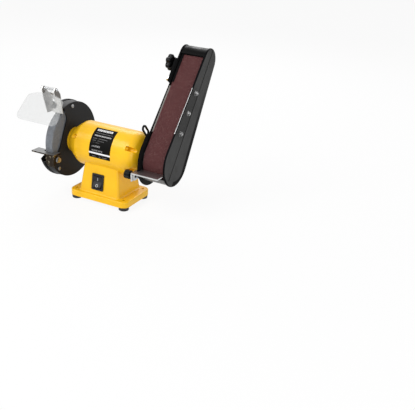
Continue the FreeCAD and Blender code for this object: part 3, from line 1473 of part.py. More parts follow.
save("guard_inner", on_shaft(guard_inner()))
save("guard_cover", on_shaft(guard_cover()))
save("guard_cover_screws", *[on_shaft(s) for s in guard_cover_screws() + guard_cover_nuts()])
save("guard_mount_screws", *[on_shaft(s) for s in guard_mount_screws()])
save("grinding_wheel", on_shaft(grinding_wheel()))
save("wheel_bush", on_shaft(wheel_bush()))
save("wheel_blotters", *[on_shaft(s) for s in wheel_blotters()])
save("inner_clamp_flange", on_shaft(inner_clamp_flange()))
save("outer_clamp_flange", on_shaft(outer_clamp_flange()))
save("wheel_nut", on_shaft(wheel_nut()))
save("spark_deflector", on_shaft(on_deflector(spark_deflector())))
save("deflector_bolt", on_shaft(on_deflector(deflector_bolt())))
save("shield_rod", on_shaft(on_deflector(shield_rod())))
save("eye_shield", on_shaft(on_deflector(eye_shield())))
save("tool_rest", on_shaft(tool_rest()))
save("tool_rest_bolt", on_shaft(tool_rest_bolt()))

save("arm_back_plate", on_arm(back_plate()))
save("arm_lower_band", on_arm(lower_band()))
save("arm_top_guard", on_arm(top_guard()))
save("side_cover", on_arm(side_cover()))
save("platen", on_arm(platen()))
save("platen_bolts", *[on_arm(s) for s in platen_bolts() + platen_nuts()])
save("drive_drum", on_arm(drive_drum()))
save("drum_nut", on_arm(drum_nut()))
save("sanding_belt", on_arm(sanding_belt()))
save("idler_wheel", on_arm(tilted(idler_wheel(), 0, 0, arm_length)))
save("idler_bearings", *[on_arm(tilted(s, 0, 0, arm_length)) for s in idler_bearings()])
save("idler_axle", on_arm(idler_axle()))
save("idler_carrier", on_arm(idler_carrier()))
save("tracking_knob", on_arm(tracking_knob()))
save("tension_lever", on_arm(tension_lever()))
save("arm_collar", on_arm(arm_collar()))
save("arm_bolts", *[on_arm(s) for s in guide_bolts() + [lever_bolt()] + bracket_screws()])
save("arm_clamp_bolt", on_arm(clamp_bolt()))
save("work_rest_bracket", on_shaft(rest_bracket()))
save("belt_work_rest", on_shaft(work_rest()))
save("work_rest_washers", *[on_shaft(s) for s in work_rest_washers()])
save("work_rest_knob", on_shaft(work_rest_knob()))
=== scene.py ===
import json
import math

import bmesh
import bpy
from mathutils import Matrix, Vector


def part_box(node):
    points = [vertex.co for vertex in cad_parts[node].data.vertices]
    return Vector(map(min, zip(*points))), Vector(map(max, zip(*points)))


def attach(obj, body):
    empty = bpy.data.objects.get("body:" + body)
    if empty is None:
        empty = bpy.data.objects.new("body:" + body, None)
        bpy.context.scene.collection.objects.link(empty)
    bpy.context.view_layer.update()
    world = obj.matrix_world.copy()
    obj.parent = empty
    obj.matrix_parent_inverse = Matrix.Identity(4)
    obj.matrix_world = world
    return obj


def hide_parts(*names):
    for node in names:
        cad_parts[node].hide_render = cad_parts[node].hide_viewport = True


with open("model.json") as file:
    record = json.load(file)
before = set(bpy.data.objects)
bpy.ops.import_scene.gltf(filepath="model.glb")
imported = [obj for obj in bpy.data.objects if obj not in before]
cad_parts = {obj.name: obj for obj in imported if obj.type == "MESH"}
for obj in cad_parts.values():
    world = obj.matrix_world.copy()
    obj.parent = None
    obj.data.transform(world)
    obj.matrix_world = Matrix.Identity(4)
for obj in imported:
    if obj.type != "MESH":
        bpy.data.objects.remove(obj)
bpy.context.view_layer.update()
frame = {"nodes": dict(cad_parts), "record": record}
nodes = frame["nodes"]
record = frame["record"]
print("frame loaded,", len(nodes), "nodes")


class Link:
    # a shader socket that can be used in plain expressions
    def __init__(self, paint, socket):
        self.paint = paint
        self.socket = socket
        self.isVector = socket.type in ("VECTOR", "RGBA")

    def combine(self, operation, other, swap=False):
        pair = (other, self) if swap else (self, other)
        if self.isVector or (isinstance(other, Link) and other.isVector):
            pair = [(p, p, p) if isinstance(p, (int, float)) else p for p in pair]
            return self.paint.node("ShaderNodeVectorMath", {"operation": operation}, dict(enumerate(pair)))
        return self.paint.maths(operation, *pair)

    def __add__(self, other):
        return self.combine("ADD", other)

    def __radd__(self, other):
        return self.combine("ADD", other, True)

    def __sub__(self, other):
        return self.combine("SUBTRACT", other)

    def __rsub__(self, other):
        return self.combine("SUBTRACT", other, True)

    def __mul__(self, other):
        return self.combine("MULTIPLY", other)

    def __rmul__(self, other):
        return self.combine("MULTIPLY", other, True)

    def __truediv__(self, other):
        return self.combine("DIVIDE", other)

    def __rtruediv__(self, other):
        return self.combine("DIVIDE", other, True)

    def __pow__(self, other):
        return self.combine("POWER", other)

    def __gt__(self, other):
        return self.combine("GREATER_THAN", other)

    def __lt__(self, other):
        return self.combine("LESS_THAN", other)


class Paint:
    # one material and the nodes in it
    def __init__(self, name):
        self.material = bpy.data.materials.new(name)
        self.material.use_nodes = True
        self.tree = self.material.node_tree
        self.tree.nodes.clear()
        self.place = self.node("ShaderNodeTexCoord", out="Object")

    def node(self, kind, settings=None, sockets=None, out=0):
        made = self.tree.nodes.new(kind)
        for key, value in (settings or {}).items():
            setattr(made, key, value)
        for key, value in (sockets or {}).items():
            self.feed(made.inputs[key], value)
        return Link(self, made.outputs[out])

    def feed(self, socket, value):
        if isinstance(value, Link):
            self.tree.links.new(value.socket, socket)
        elif socket.type == "RGBA" and len(value) == 3:
            socket.default_value = (*value, 1)
        else:
            socket.default_value = value

    def maths(self, operation, *values):
        return self.node("ShaderNodeMath", {"operation": operation}, dict(enumerate(values)))

    def grain(self, size, detail=2.0, roughness=0.5, stretch=(1, 1, 1)):
        # noise about 0.5, whose blotches are about size metres across
        return self.node("ShaderNodeTexNoise", {"noise_dimensions": "3D"},
                         {"Vector": self.place * stretch, "Scale": 1 / size, "Detail": detail,
                          "Roughness": roughness}, "Fac")

    def cells(self, size, out="Distance"):
        # grains of about size metres: how far out in its grain a point is, or the grain's own chance colour
        return self.node("ShaderNodeTexVoronoi", {"feature": "F1"},
                         {"Vector": self.place, "Scale": 1 / size}, out)

    def bands(self, scale, distortion, detail=2.0):
        # stripes across the shaft's direction
        return self.node("ShaderNodeTexWave", {"wave_type": "BANDS", "bands_direction": "X"},
                         {"Vector": self.place, "Scale": scale, "Distortion": distortion,
                          "Detail": detail}, "Fac")

    def step(self, value, low, high):
        # 0 below low, 1 above high, smooth between
        return self.node("ShaderNodeMapRange", {"interpolation_type": "SMOOTHSTEP"},
                         {"Value": value, "From Min": low, "From Max": high}, 0)

    def mix(self, factor, first, second):
        return self.node("ShaderNodeMix", {"data_type": "RGBA"}, {"Factor": factor, "A": first, "B": second}, 2)

    def axis(self, name):
        return self.node("ShaderNodeSeparateXYZ", None, {0: self.place}, name)

    def facing(self, name):
        return self.node("ShaderNodeSeparateXYZ", None, {0: self.node("ShaderNodeTexCoord", out="Normal")}, name)

    def bump(self, height, depth, strength=1.0):
        return self.node("ShaderNodeBump", None, {"Height": height, "Distance": depth, "Strength": strength})

    def finish(self, **inputs):
        # inputs are written in camelCase and matched to the shader's own socket names
        made = self.tree.nodes.new("ShaderNodeBsdfPrincipled")
        names = {name.replace(" ", "").lower(): name for name in made.inputs.keys()}
        for key, value in inputs.items():
            self.feed(made.inputs[names[key.lower()]], value)
        end = self.tree.nodes.new("ShaderNodeOutputMaterial")
        self.tree.links.new(made.outputs[0], end.inputs["Surface"])
        return self.material


def shades(colour, share, lift=0.0):
    return [c * share + lift for c in colour]


def between(value, low, high):
    # 1 inside the two limits and 0 outside
    return (value > low) * (value < high)


enamel = {"yellow": (0.93, 0.522, 0.008), "black": (0.0038, 0.0042, 0.0055), "grey": (0.125, 0.122, 0.121),
          "cloudShade": 0.86, "speckShade": 1.25, "speckLift": 0.02, "coatRoughness": 0.14}


def makeEnamel(name, colour, roughness, peel, coat):
    # sprayed enamel with orange peel, faint clouds and dust specks
    paint = Paint(name)
    cloudy = paint.grain(0.035, 3)
    dusty = paint.grain(0.009, 4, 0.62)
    shade = paint.mix(paint.step(cloudy, 0.35, 0.7) * 0.5, colour, shades(colour, enamel["cloudShade"]))
    speck = paint.step(paint.grain(0.0016, 1), 0.73, 0.78)
    pale = [min(1, c) for c in shades(colour, enamel["speckShade"], enamel["speckLift"])]
    shade = paint.mix(speck * 0.25, shade, pale)
    relief = paint.grain(peel, 2) + paint.grain(peel * 4, 1) * 0.8
    return paint.finish(baseColor=shade, roughness=dusty * 0.12 + (roughness - 0.06), coatWeight=coat,
                        coatRoughness=enamel["coatRoughness"], specularIorLevel=0.25,
                        normal=paint.bump(relief, 0.00006, 0.35))


# the face colours and the guard's top colour are painted sheen on faces turned to the right or upwards
sheetBlack = {"face": (0.012, 0.012, 0.0125), "guardPaintedSheen": (0.0180, 0.0184, 0.0200),
              # the plate colour is the same black made darker, as painted shade
              "guardPaintedTopSheen": (0.085, 0.085, 0.086), "plate": (0.0020, 0.0020, 0.0022), "rubShade": 2.1,
              "paintedSheenFrom": (0.86, 0.97), "paintedTopSheenFrom": (0.6, 0.9)}


def makeSheetBlack(name, colour, roughness, specular=0.09, paintedSheenColour=sheetBlack["face"], paintedTopSheen=None):
    # stoved black on pressed sheet, with fine rubs; flat faces on the right get a paler colour as painted sheen,
    # and faces looking up get another when a top colour is given
    paint = Paint(name)
    rubsAndPaintedGlintGrain = paint.grain(0.004, 5, 0.7, stretch=(1, 3, 0.6))
    cloudy = paint.grain(0.03, 3)
    shade = paint.mix(paint.step(rubsAndPaintedGlintGrain, 0.55, 0.8) * 0.5, colour, shades(colour, sheetBlack["rubShade"]))
    # painted sheen: faces turned to the right take the paler face colour
    shade = paint.mix(paint.step(paint.facing("X"), *sheetBlack["paintedSheenFrom"]), shade, paintedSheenColour)
    if paintedTopSheen:
        # painted sheen: faces looking up take the top colour
        shade = paint.mix(paint.step(paint.facing("Z"), *sheetBlack["paintedTopSheenFrom"]), shade, paintedTopSheen)
    relief = paint.grain(0.0011, 2) + paint.grain(0.006, 2)
    return paint.finish(baseColor=shade, roughness=cloudy * 0.14 + (roughness - 0.07) + rubsAndPaintedGlintGrain * 0.06,
                        specularIorLevel=specular, normal=paint.bump(relief, 0.00007, 0.4))


# left and right ramp a painted sheen across the guard; the pale colour is a grainy painted highlight on top and
# the darkest one painted shade on the front lip
topGuard = {"left": (0.0016, 0.0016, 0.0016), "right": (0.026, 0.026, 0.026), "ramp": (0.012, 0.046),
            "paintedGlint": (0.20, 0.20, 0.205), "paintedGlintGrain": (0.36, 0.58), "paintedGlintUpward": (0.90, 0.985),
            "paintedGlintFrom": (0.014, 0.024), "paintedGlintTo": (0.036, 0.046),
            "lip": (0.0012, 0.0012, 0.0012), "lipFrom": (0.86, 0.98)}


def makeTopGuardBlack(name, arm):
    # the rounded guard over the idler: dark, with a painted sheen growing towards the cover, a grainy painted
    # highlight on top and painted shade on its front lip
    paint = Paint(name)
    low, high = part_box("arm_top_guard")
    rubsAndPaintedGlintGrain = paint.grain(0.004, 5, 0.7, stretch=(0.5, 2, 2))
    across = paint.axis("X") - low.x
    # painted sheen, growing from left to right
    shade = paint.mix(paint.step(across, *topGuard["ramp"]), topGuard["left"], topGuard["right"])
    # a grainy painted highlight on the upward faces in the middle of the guard
    wearAndPaintedLight = paint.step(rubsAndPaintedGlintGrain, *topGuard["paintedGlintGrain"]) * paint.step(paint.facing("Z"), *topGuard["paintedGlintUpward"])
    wearAndPaintedLight = wearAndPaintedLight * paint.step(across, *topGuard["paintedGlintFrom"]) * (1 - paint.step(across, *topGuard["paintedGlintTo"]))
    shade = paint.mix(wearAndPaintedLight, shade, topGuard["paintedGlint"])
    forward = paint.facing("Z") * math.sin(arm["tilt"]) - paint.facing("Y") * math.cos(arm["tilt"])
    # painted shade on the faces of the front lip
    shade = paint.mix(paint.step(forward, *topGuard["lipFrom"]), shade, topGuard["lip"])
    relief = paint.grain(0.0011, 2) + paint.grain(0.006, 2)
    return paint.finish(baseColor=shade, roughness=rubsAndPaintedGlintGrain * 0.14 + 0.29, specularIorLevel=0.07,
                        normal=paint.bump(relief, 0.00007, 0.4))


# the face colour is painted sheen on the flat face turned to the right
coverFace = {"body": (0.0030, 0.0032, 0.0040), "face": (0.058, 0.058, 0.0575), "paintedSheenFrom": (0.86, 0.97),
             # the front half of the face lies deeper and gets less painted sheen, so it is darker beside the belt
             "sunk": (0.040, 0.040, 0.0395), "sunkDepth": 0.0004,
             "sunkFrom": (0.040, 0.062), "sunkTo": (0.150, 0.172),
             # painted shade along the rear edge and round its foot, and on the faces that look backwards
             "paintedRearShade": (0.0006, 0.0006, 0.0006), "paintedRearShadeWidth": 0.0160, "paintedRearShadeRadius": 0.0405, "paintedRearShadeBehind": 0.012,
             "paintedRearShadeFade": (0.06, 0.23)}


def makeCoverBlack(name, arm):
    # the pressed side cover, coloured by the place on its face: painted sheen on its flat face, less of it on the
    # deeper front half, and painted shade on its backward faces and along its rear edge
    paint = Paint(name)
    low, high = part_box("side_cover")
    rubsAndPaintedGlintGrain = paint.grain(0.004, 5, 0.7, stretch=(1, 3, 0.6))
    cloudy = paint.grain(0.02, 3)
    body = coverFace["body"]
    shade = paint.mix(paint.step(rubsAndPaintedGlintGrain, 0.55, 0.8) * 0.5, body, shades(body, sheetBlack["rubShade"]))
    sine, cosine = math.sin(arm["tilt"]), math.cos(arm["tilt"])
    back = paint.facing("Y") * cosine - paint.facing("Z") * sine
    # painted shade on the faces that look backwards
    shade = paint.mix(paint.step(back, 0.15, 0.4), shade, coverFace["paintedRearShade"])
    along = paint.axis("Y") * sine + (paint.axis("Z") - arm["height"]) * cosine
    across = (paint.axis("Y") - arm["shift"]) * cosine - (paint.axis("Z") - arm["height"]) * sine
    # less painted sheen on the deeper front half of the face
    sunk = (paint.axis("X") < high.x - coverFace["sunkDepth"]) * paint.step(along, *coverFace["sunkFrom"])
    sunk = sunk * (1 - paint.step(along, *coverFace["sunkTo"]))
    face = paint.mix(sunk, coverFace["face"], coverFace["sunk"])
    face = paint.mix(paint.step(cloudy, 0.45, 0.75) * 0.4, face, coverFace["sunk"])
    # painted shade along the rear edge and round the foot, fading further along the arm
    rear = across + along * arm["cover"]["rise"] + arm["cover"]["start"]
    out = (across * across + along * along) ** 0.5
    foot = (out > coverFace["paintedRearShadeRadius"]) * (across > coverFace["paintedRearShadeBehind"]) * (along < coverFace["paintedRearShadeBehind"])
    paintedRearShade = (rear + coverFace["paintedRearShadeWidth"] > 0) + foot
    face = paint.mix(paintedRearShade * (1 - paint.step(along, *coverFace["paintedRearShadeFade"])), face, coverFace["paintedRearShade"])
    # the flat face turned to the right takes the painted sheen
    shade = paint.mix(paint.step(paint.facing("X"), *coverFace["paintedSheenFrom"]), shade, face)
    relief = paint.grain(0.0011, 2) + paint.grain(0.006, 2)
    return paint.finish(baseColor=shade, roughness=cloudy * 0.14 + 0.35 + rubsAndPaintedGlintGrain * 0.06, specularIorLevel=0.03,
                        normal=paint.bump(relief, 0.00007, 0.4))


plating = {"zinc": (0.66, 0.67, 0.68), "yellowZinc": (0.72, 0.71, 0.69), "yellowTint": (0.64, 0.61, 0.55),
           "ground": (0.56, 0.56, 0.57), "aluminium": (0.74, 0.75, 0.76), "dullZinc": (0.42, 0.42, 0.42),
           "dullSteel": (0.12, 0.112, 0.104), "bolt": (0.11, 0.105, 0.10), "tintShade": 0.82, "spotShade": 0.55,
           "brushed": (1, 0.12, 0.12), "turned": (1, 0.2, 0.2)}


def makePlatedSteel(name, colour, roughness, brush=(1, 1, 1), tint=None):
    paint = Paint(name)
    streaks = paint.grain(0.0007, 3, 0.6, stretch=brush)
    cloudy = paint.grain(0.012, 4, 0.6)
    shade = paint.mix(paint.step(cloudy, 0.3, 0.75), colour, tint or shades(colour, plating["tintShade"]))
    spots = paint.step(paint.grain(0.0035, 4, 0.7), 0.66, 0.8)
    shade = paint.mix(spots * 0.4, shade, shades(colour, plating["spotShade"]))
    return paint.finish(baseColor=shade, metallic=1.0, roughness=streaks * 0.16 + cloudy * 0.1 + roughness - 0.13,
                        normal=paint.bump(streaks, 0.00003, 0.5))


restSteel = {  # the top that the work rubs, the edges, their glints and the roughness
    # the tool rest: its dark brown edges are painted shade and its cream glints painted highlights
    "wearAndPaintedLight": ((0.26, 0.26, 0.26), (0.035, 0.027, 0.020), (0.50, 0.45, 0.33), 0.44),
    # the belt work rest: its reddish top is a painted reflection of the belt, its pale edges and glints painted
    # highlights
    "dark": ((0.33, 0.265, 0.27), (0.62, 0.62, 0.62), (0.80, 0.80, 0.80), 0.42), "patchShade": 0.7}


def makeRestSteel(name, top, side, glint, roughness):
    # a worn plate whose top is rubbed by the work, with edges coloured as painted shade on the tool rest and as
    # painted highlight on the table, flecked with painted glints
    paint = Paint(name)
    upward = paint.step(paint.facing("Z"), 0.6, 0.9)
    cloudy = paint.grain(0.006, 4, 0.6)
    scratches = paint.grain(0.0008, 3, 0.6, stretch=(0.15, 1, 1))
    # the edges in their own colour, painted shade on the tool rest and painted highlight on the table, flecked
    # with painted glints
    edge = paint.mix(paint.step(cloudy, 0.56, 0.66), side, glint)
    # the top: rubbed metal on the tool rest, a painted reflection of the belt on the table
    face = paint.mix(paint.step(cloudy, 0.35, 0.75) * 0.6, top, shades(top, restSteel["patchShade"]))
    return paint.finish(baseColor=paint.mix(upward, edge, face), metallic=1.0,
                        roughness=scratches * 0.14 + cloudy * 0.1 + roughness - 0.12,
                        normal=paint.bump(scratches, 0.00003, 0.5))


# side is painted shade on the faces turned sideways
deflectorSteel = {"web": (0.82, 0.81, 0.79), "far": (0.62, 0.61, 0.58), "side": (0.20, 0.19, 0.18),
                  "farFrom": (1.0, 2.1), "sideFrom": (0.7, 0.9)}


def makeDeflectorSteel(name):
    # passivated sheet, darker towards its lower right, with painted shade on its sides
    paint = Paint(name)
    low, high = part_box("spark_deflector")
    cloudy = paint.grain(0.012, 4, 0.6)
    streaks = paint.grain(0.0007, 3, 0.6)
    reach = (paint.axis("X") - low.x) / (high.x - low.x) + (high.z - paint.axis("Z")) / (high.z - low.z)
    darkerLowRight = paint.step(reach + cloudy * 0.5, *deflectorSteel["farFrom"])
    shade = paint.mix(darkerLowRight, deflectorSteel["web"], deflectorSteel["far"])
    # painted shade on the faces turned sideways
    shade = paint.mix(paint.step(paint.facing("X"), *deflectorSteel["sideFrom"]), shade, deflectorSteel["side"])
    return paint.finish(baseColor=shade, metallic=1.0, roughness=streaks * 0.16 + cloudy * 0.1 + 0.25,
                        normal=paint.bump(streaks, 0.00003, 0.5))


plastic = {"black": (0.010, 0.010, 0.0105), "grey": (0.16, 0.16, 0.17), "knob": (0.004, 0.004, 0.0043),
           "patchShade": 1.5, "patchLift": 0.004}


def makeMouldedPlastic(name, colour, roughness, specular=0.3):
    paint = Paint(name)
    grainy = paint.grain(0.0005, 2)
    cloudy = paint.grain(0.01, 3)
    patch = shades(colour, plastic["patchShade"], plastic["patchLift"])
    shade = paint.mix(paint.step(cloudy, 0.4, 0.75) * 0.6, colour, patch)
    return paint.finish(baseColor=shade, roughness=cloudy * 0.14 + roughness - 0.07, specularIorLevel=specular,
                        normal=paint.bump(grainy, 0.00004, 0.5))


rubber = {"clean": (0.016, 0.016, 0.016), "dusty": (0.075, 0.07, 0.065)}


def makeRubber(name):
    paint = Paint(name)
    dust = paint.step(paint.grain(0.003, 5, 0.7), 0.5, 0.8)
    shade = paint.mix(dust * 0.5, rubber["clean"], rubber["dusty"])
    return paint.finish(baseColor=shade, roughness=dust * 0.1 + 0.62,
                        normal=paint.bump(paint.grain(0.0008, 3), 0.0001, 0.6))


cloth = {"grain": 0.00055, "tint": 0.0006, "dark": (0.048, 0.0112, 0.0114), "light": (0.109, 0.0325, 0.0332),
         "sparkle": (0.30, 0.18, 0.165), "streak": (0.082, 0.030, 0.0315), "weaveScale": 312.34}


def makeAbrasiveCloth(name):
    # brown grains in a resin coat, with faint weave from the cloth below and streaks along the run
    paint = Paint(name)
    grains = paint.cells(cloth["grain"])
    tint = paint.node("ShaderNodeSeparateColor", None, {0: paint.cells(cloth["tint"], "Color")}, "Red")
    shade = paint.mix(tint, cloth["dark"], cloth["light"])
    sparkle = paint.step(tint, 0.93, 0.97)
    shade = paint.mix(sparkle * 0.7, shade, cloth["sparkle"])
    streak = paint.step(paint.grain(0.004, 4, 0.6, stretch=(1, 0.06, 0.06)), 0.42, 0.72)
    shade = paint.mix(streak * 0.35, shade, cloth["streak"])
    relief = (1 - grains * 1.6) + paint.bands(cloth["weaveScale"], 1.5, 1.0) * 0.25
    return paint.finish(baseColor=shade, roughness=0.80 - sparkle * 0.30, specularIorLevel=0.25,
                        normal=paint.bump(relief, 0.00022, 0.9))


stone = {"grain": 0.0009, "dark": (0.114, 0.124, 0.139), "light": (0.224, 0.243, 0.270),
         "pore": (0.07, 0.07, 0.075), "glint": (0.46, 0.49, 0.52), "soiled": (0.150, 0.145, 0.145)}


def makeGrindstone(name):
    paint = Paint(name)
    grains = paint.cells(stone["grain"])
    tint = paint.node("ShaderNodeSeparateColor", None, {0: paint.cells(stone["grain"], "Color")}, "Green")
    shade = paint.mix(tint, stone["dark"], stone["light"])
    shade = paint.mix(paint.step(grains, 0.62, 0.8) * 0.6, shade, stone["pore"])
    glint = paint.step(tint, 0.95, 0.98)
    shade = paint.mix(glint * 0.5, shade, stone["glint"])
    cloudy = paint.step(paint.grain(0.016, 4, 0.6), 0.4, 0.75)
    shade = paint.mix(cloudy * 0.3, shade, stone["soiled"])
    return paint.finish(baseColor=shade, roughness=0.86 - glint * 0.3, normal=paint.bump(1 - grains, 0.0003, 0.9))


clearSheet = {"tint": (0.55, 0.56, 0.56), "thinnest": 0.22, "haze": 0.04}


def makeClearSheet(name):
    paint = Paint(name)
    haze = paint.step(paint.grain(0.01, 4, 0.65), 0.45, 0.8)
    return paint.finish(baseColor=clearSheet["tint"], roughness=haze * 0.08 + 0.10, specularIorLevel=0.3,
                        alpha=haze * clearSheet["haze"] + clearSheet["thinnest"])


inside = {"turnScale": 416.67, "wireDark": (0.20, 0.06, 0.02), "wire": (0.62, 0.27, 0.10), "leafScale": 318.31,
          "leafDark": (0.10, 0.10, 0.11), "leaf": (0.36, 0.36, 0.37), "cardDark": (0.22, 0.18, 0.12),
          "card": (0.42, 0.35, 0.25)}


def makeCopperWire(name):
    paint = Paint(name)
    turns = paint.bands(inside["turnScale"], 0.6, 1.0)
    return paint.finish(baseColor=paint.mix(turns, inside["wireDark"], inside["wire"]), metallic=0.85,
                        roughness=0.36 + turns * 0.1, normal=paint.bump(turns, 0.0003, 0.8))


def makeLaminations(name):
    paint = Paint(name)
    leaves = paint.bands(inside["leafScale"], 0.2)
    return paint.finish(baseColor=paint.mix(leaves, inside["leafDark"], inside["leaf"]), metallic=0.9,
                        roughness=0.42 + leaves * 0.1, normal=paint.bump(leaves, 0.00008, 0.7))


def makeCard(name):
    paint = Paint(name)
    fibres = paint.grain(0.0009, 5, 0.75, stretch=(1, 2, 0.5))
    shade = paint.mix(fibres, inside["cardDark"], inside["card"])
    return paint.finish(baseColor=shade, roughness=0.85 + fibres * 0.1,
                        normal=paint.bump(fibres, 0.00008, 0.6))


label = {"film": (0.0055, 0.0055, 0.0050), "stripe": (0.82, 0.82, 0.84), "stripeAngles": (-2.1, 2.1),
         "margin": 0.0035, "markShare": 0.66,
         # rows of unreadable print: from and to in degrees above the front, shares of the width where
         # a row starts and ends, length of a mark in metres, share left out, brightness
         "rows": ((58.0, 64.5, 0.06, 0.88, 0.0046, 0.15, 0.80), (51.6, 52.2, 0.04, 0.96, 0.5, 0.0, 0.30),
                  (43.0, 46.5, 0.04, 0.95, 0.0021, 0.30, 0.50), (36.0, 37.4, 0.04, 0.80, 0.0013, 0.42, 0.20),
                  (30.4, 31.8, 0.04, 0.72, 0.0013, 0.42, 0.16), (25.6, 26.8, 0.04, 0.50, 0.0013, 0.42, 0.12),
                  (15.0, 19.5, 0.06, 0.50, 0.0036, 0.42, 0.26), (5.0, 8.8, 0.06, 0.68, 0.0036, 0.42, 0.22),
                  (-9.6, -7.4, 0.10, 0.90, 0.0016, 0.40, 0.20))}


def makeLabelFilm(name):
    # black film round the housing, with a white stripe and rows of marks that stand for print and can't be read
    paint = Paint(name)
    low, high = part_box("rating_plate")
    axisHeight = sum(corner.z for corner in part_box("motor_shaft")) / 2
    across = paint.axis("X")
    back, up = paint.axis("Y"), paint.axis("Z") - axisHeight
    angle = paint.maths("ARCTAN2", up, back * -1) * (180 / math.pi)
    inner, width = low.x + label["margin"], high.x - low.x - 2 * label["margin"]

    def marks(pitch, gaps):
        # marks of uneven length along a row
        phase = paint.maths("FRACT", (across - inner) / pitch + paint.grain(pitch * 3, 1) * 3)
        return (phase < label["markShare"]) * (paint.grain(pitch * 5, 0) > gaps)

    ink = 0
    for bottom, top, start, end, pitch, gaps, brightness in label["rows"]:
        row = between(angle, bottom, top) * brightness
        row = row * between(across, inner + start * width, inner + end * width)
        if gaps > 0:
            row = row * marks(pitch, gaps)
        ink = row + ink
    shade = paint.mix(ink, label["film"], (1, 1, 1))
    shade = paint.mix(between(angle, *label["stripeAngles"]), shade, label["stripe"])
    scuff = paint.grain(0.005, 5, 0.7)
    return paint.finish(baseColor=shade, roughness=scuff * 0.2 + 0.40, specularIorLevel=0.05,
                        normal=paint.bump(scuff, 0.00003, 0.3))


def findArm():
    # the arm's own directions, from the shaft's axis up to the idler's, and the front lines of belt and cover
    boxes = {name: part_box(name) for name in ("motor_shaft", "idler_axle", "sanding_belt", "side_cover")}
    foot, top = (sum(boxes[name], Vector()) / 2 for name in ("motor_shaft", "idler_axle"))
    length = math.hypot(top.y - foot.y, top.z - foot.z)
    arm = {"tilt": math.atan2(top.y - foot.y, top.z - foot.z), "length": length,
           "height": foot.z, "shift": foot.y}
    for line, node in (("belt", "sanding_belt"), ("cover", "side_cover")):
        low, high = boxes[node]
        wide, narrow = foot.z - low.z, high.z - top.z
        slope = math.asin((wide - narrow) / length)
        arm[line] = {"start": -wide / math.cos(slope), "rise": math.tan(slope), "left": low.x, "right": high.x}
    return arm


def armPoint(arm, x, line, ahead, along):
    # a point at x, so far ahead of a front line and so far along the arm
    across = arm[line]["start"] + arm[line]["rise"] * along - ahead
    sine, cosine = math.sin(arm["tilt"]), math.cos(arm["tilt"])
    return Vector((x, arm["shift"] + across * cosine + along * sine,
                   arm["height"] - across * sine + along * cosine))


finishes = {}


def buildFinishes(arm):
    black = enamel["black"]
    finishes.update({
        "yellow_paint": makeEnamel("yellowEnamel", enamel["yellow"], 0.34, 0.0013, 0.16),
        "grey_band": makeEnamel("greyEnamel", enamel["grey"], 0.42, 0.0012, 0.1),
        "black_paint": makeSheetBlack("blackEnamel", black, 0.40),
        # the same black made darker and duller as painted shade, for the back plate, the idler carrier and the
        # strips of painted shadow beside the belt
        "painted_shade_black": makeSheetBlack("paintedShadeBlack", sheetBlack["plate"], 0.44, specular=0.03),
        # the guard plate's right face and its top band take paler colours as painted sheen
        "guard_black": makeSheetBlack("guardBlack", black, 0.40, paintedSheenColour=sheetBlack["guardPaintedSheen"],
                                      paintedTopSheen=sheetBlack["guardPaintedTopSheen"]),
        "top_black": makeTopGuardBlack("topBlack", arm),
        "cover_black": makeCoverBlack("coverBlack", arm),
        "zinc": makePlatedSteel("brightZinc", plating["zinc"], 0.34),
        "dull_zinc": makePlatedSteel("dullZinc", plating["dullZinc"], 0.42),
        "yellow_zinc": makePlatedSteel("yellowZinc", plating["yellowZinc"], 0.38, tint=plating["yellowTint"]),
        "bare_steel": makePlatedSteel("groundSteel", plating["ground"], 0.32, brush=plating["brushed"]),
        "dull_steel": makePlatedSteel("dullSteel", plating["dullSteel"], 0.50, brush=plating["brushed"]),
        "dark_bolt": makePlatedSteel("darkBolt", plating["bolt"], 0.36),
        "aluminium": makePlatedSteel("turnedAluminium", plating["aluminium"], 0.36, brush=plating["turned"]),
        "deflector_steel": makeDeflectorSteel("deflectorSteel"),
        "worn_steel_painted_light": makeRestSteel("wornSteelPaintedLight", *restSteel["wearAndPaintedLight"]),
        "dark_steel_painted_light": makeRestSteel("darkSteelPaintedLight", *restSteel["dark"]),
        "lamination": makeLaminations("statorLeaves"),
        "copper": makeCopperWire("windingWire"),
        "abrasive_wheel": makeGrindstone("greyGrindstone"),
        "abrasive_cloth": makeAbrasiveCloth("brownAbrasive"),
        "clear_plastic": makeClearSheet("clearSheet"),
        "black_plastic": makeMouldedPlastic("blackMoulding", plastic["black"], 0.34),
        "grey_plastic": makeMouldedPlastic("greyMoulding", plastic["grey"], 0.45),
        "glossy_knob": makeMouldedPlastic("glossyKnob", plastic["knob"], 0.18, specular=0.14),
        "label": makeLabelFilm("labelFilm"),
        "rubber": makeRubber("footRubber"),
        "blotter_paper": makeCard("blotterCard"),
    })


# the nodes whose finish isn't the plain one of their slot
ownFinish = {"guard_inner": "guard_black", "guard_cover_screws": "dull_zinc", "deflector_bolt": "dark_bolt",
             "spark_deflector": "deflector_steel", "end_bell_screws": "yellow_paint",
             # the back plate and the idler carrier take the darker black as painted shade
             "arm_back_plate": "painted_shade_black", "idler_carrier": "painted_shade_black", "arm_top_guard": "top_black",
             "side_cover": "cover_black", "platen": "dull_steel", "platen_bolts": "dull_zinc",
             "tool_rest": "worn_steel_painted_light", "belt_work_rest": "dark_steel_painted_light",
             "tracking_knob": "glossy_knob", "work_rest_knob": "glossy_knob"}


def dressNodes():
    for row in record["subparts"]:
        piece = nodes[row["node"]]
        piece.data.materials.clear()
        piece.data.materials.append(finishes[ownFinish.get(row["node"], row["material_slot"])])


def closeMesh(made, name):
    bmesh.ops.recalc_face_normals(made, faces=made.faces)
    mesh = bpy.data.meshes.new(name)
    made.to_mesh(mesh)
    made.free()
    return mesh


def addPiece(name, mesh, finish, body):
    piece = bpy.data.objects.new(name, mesh)
    bpy.context.scene.collection.objects.link(piece)
    mesh.materials.append(finish)
    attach(piece, body)
    return piece


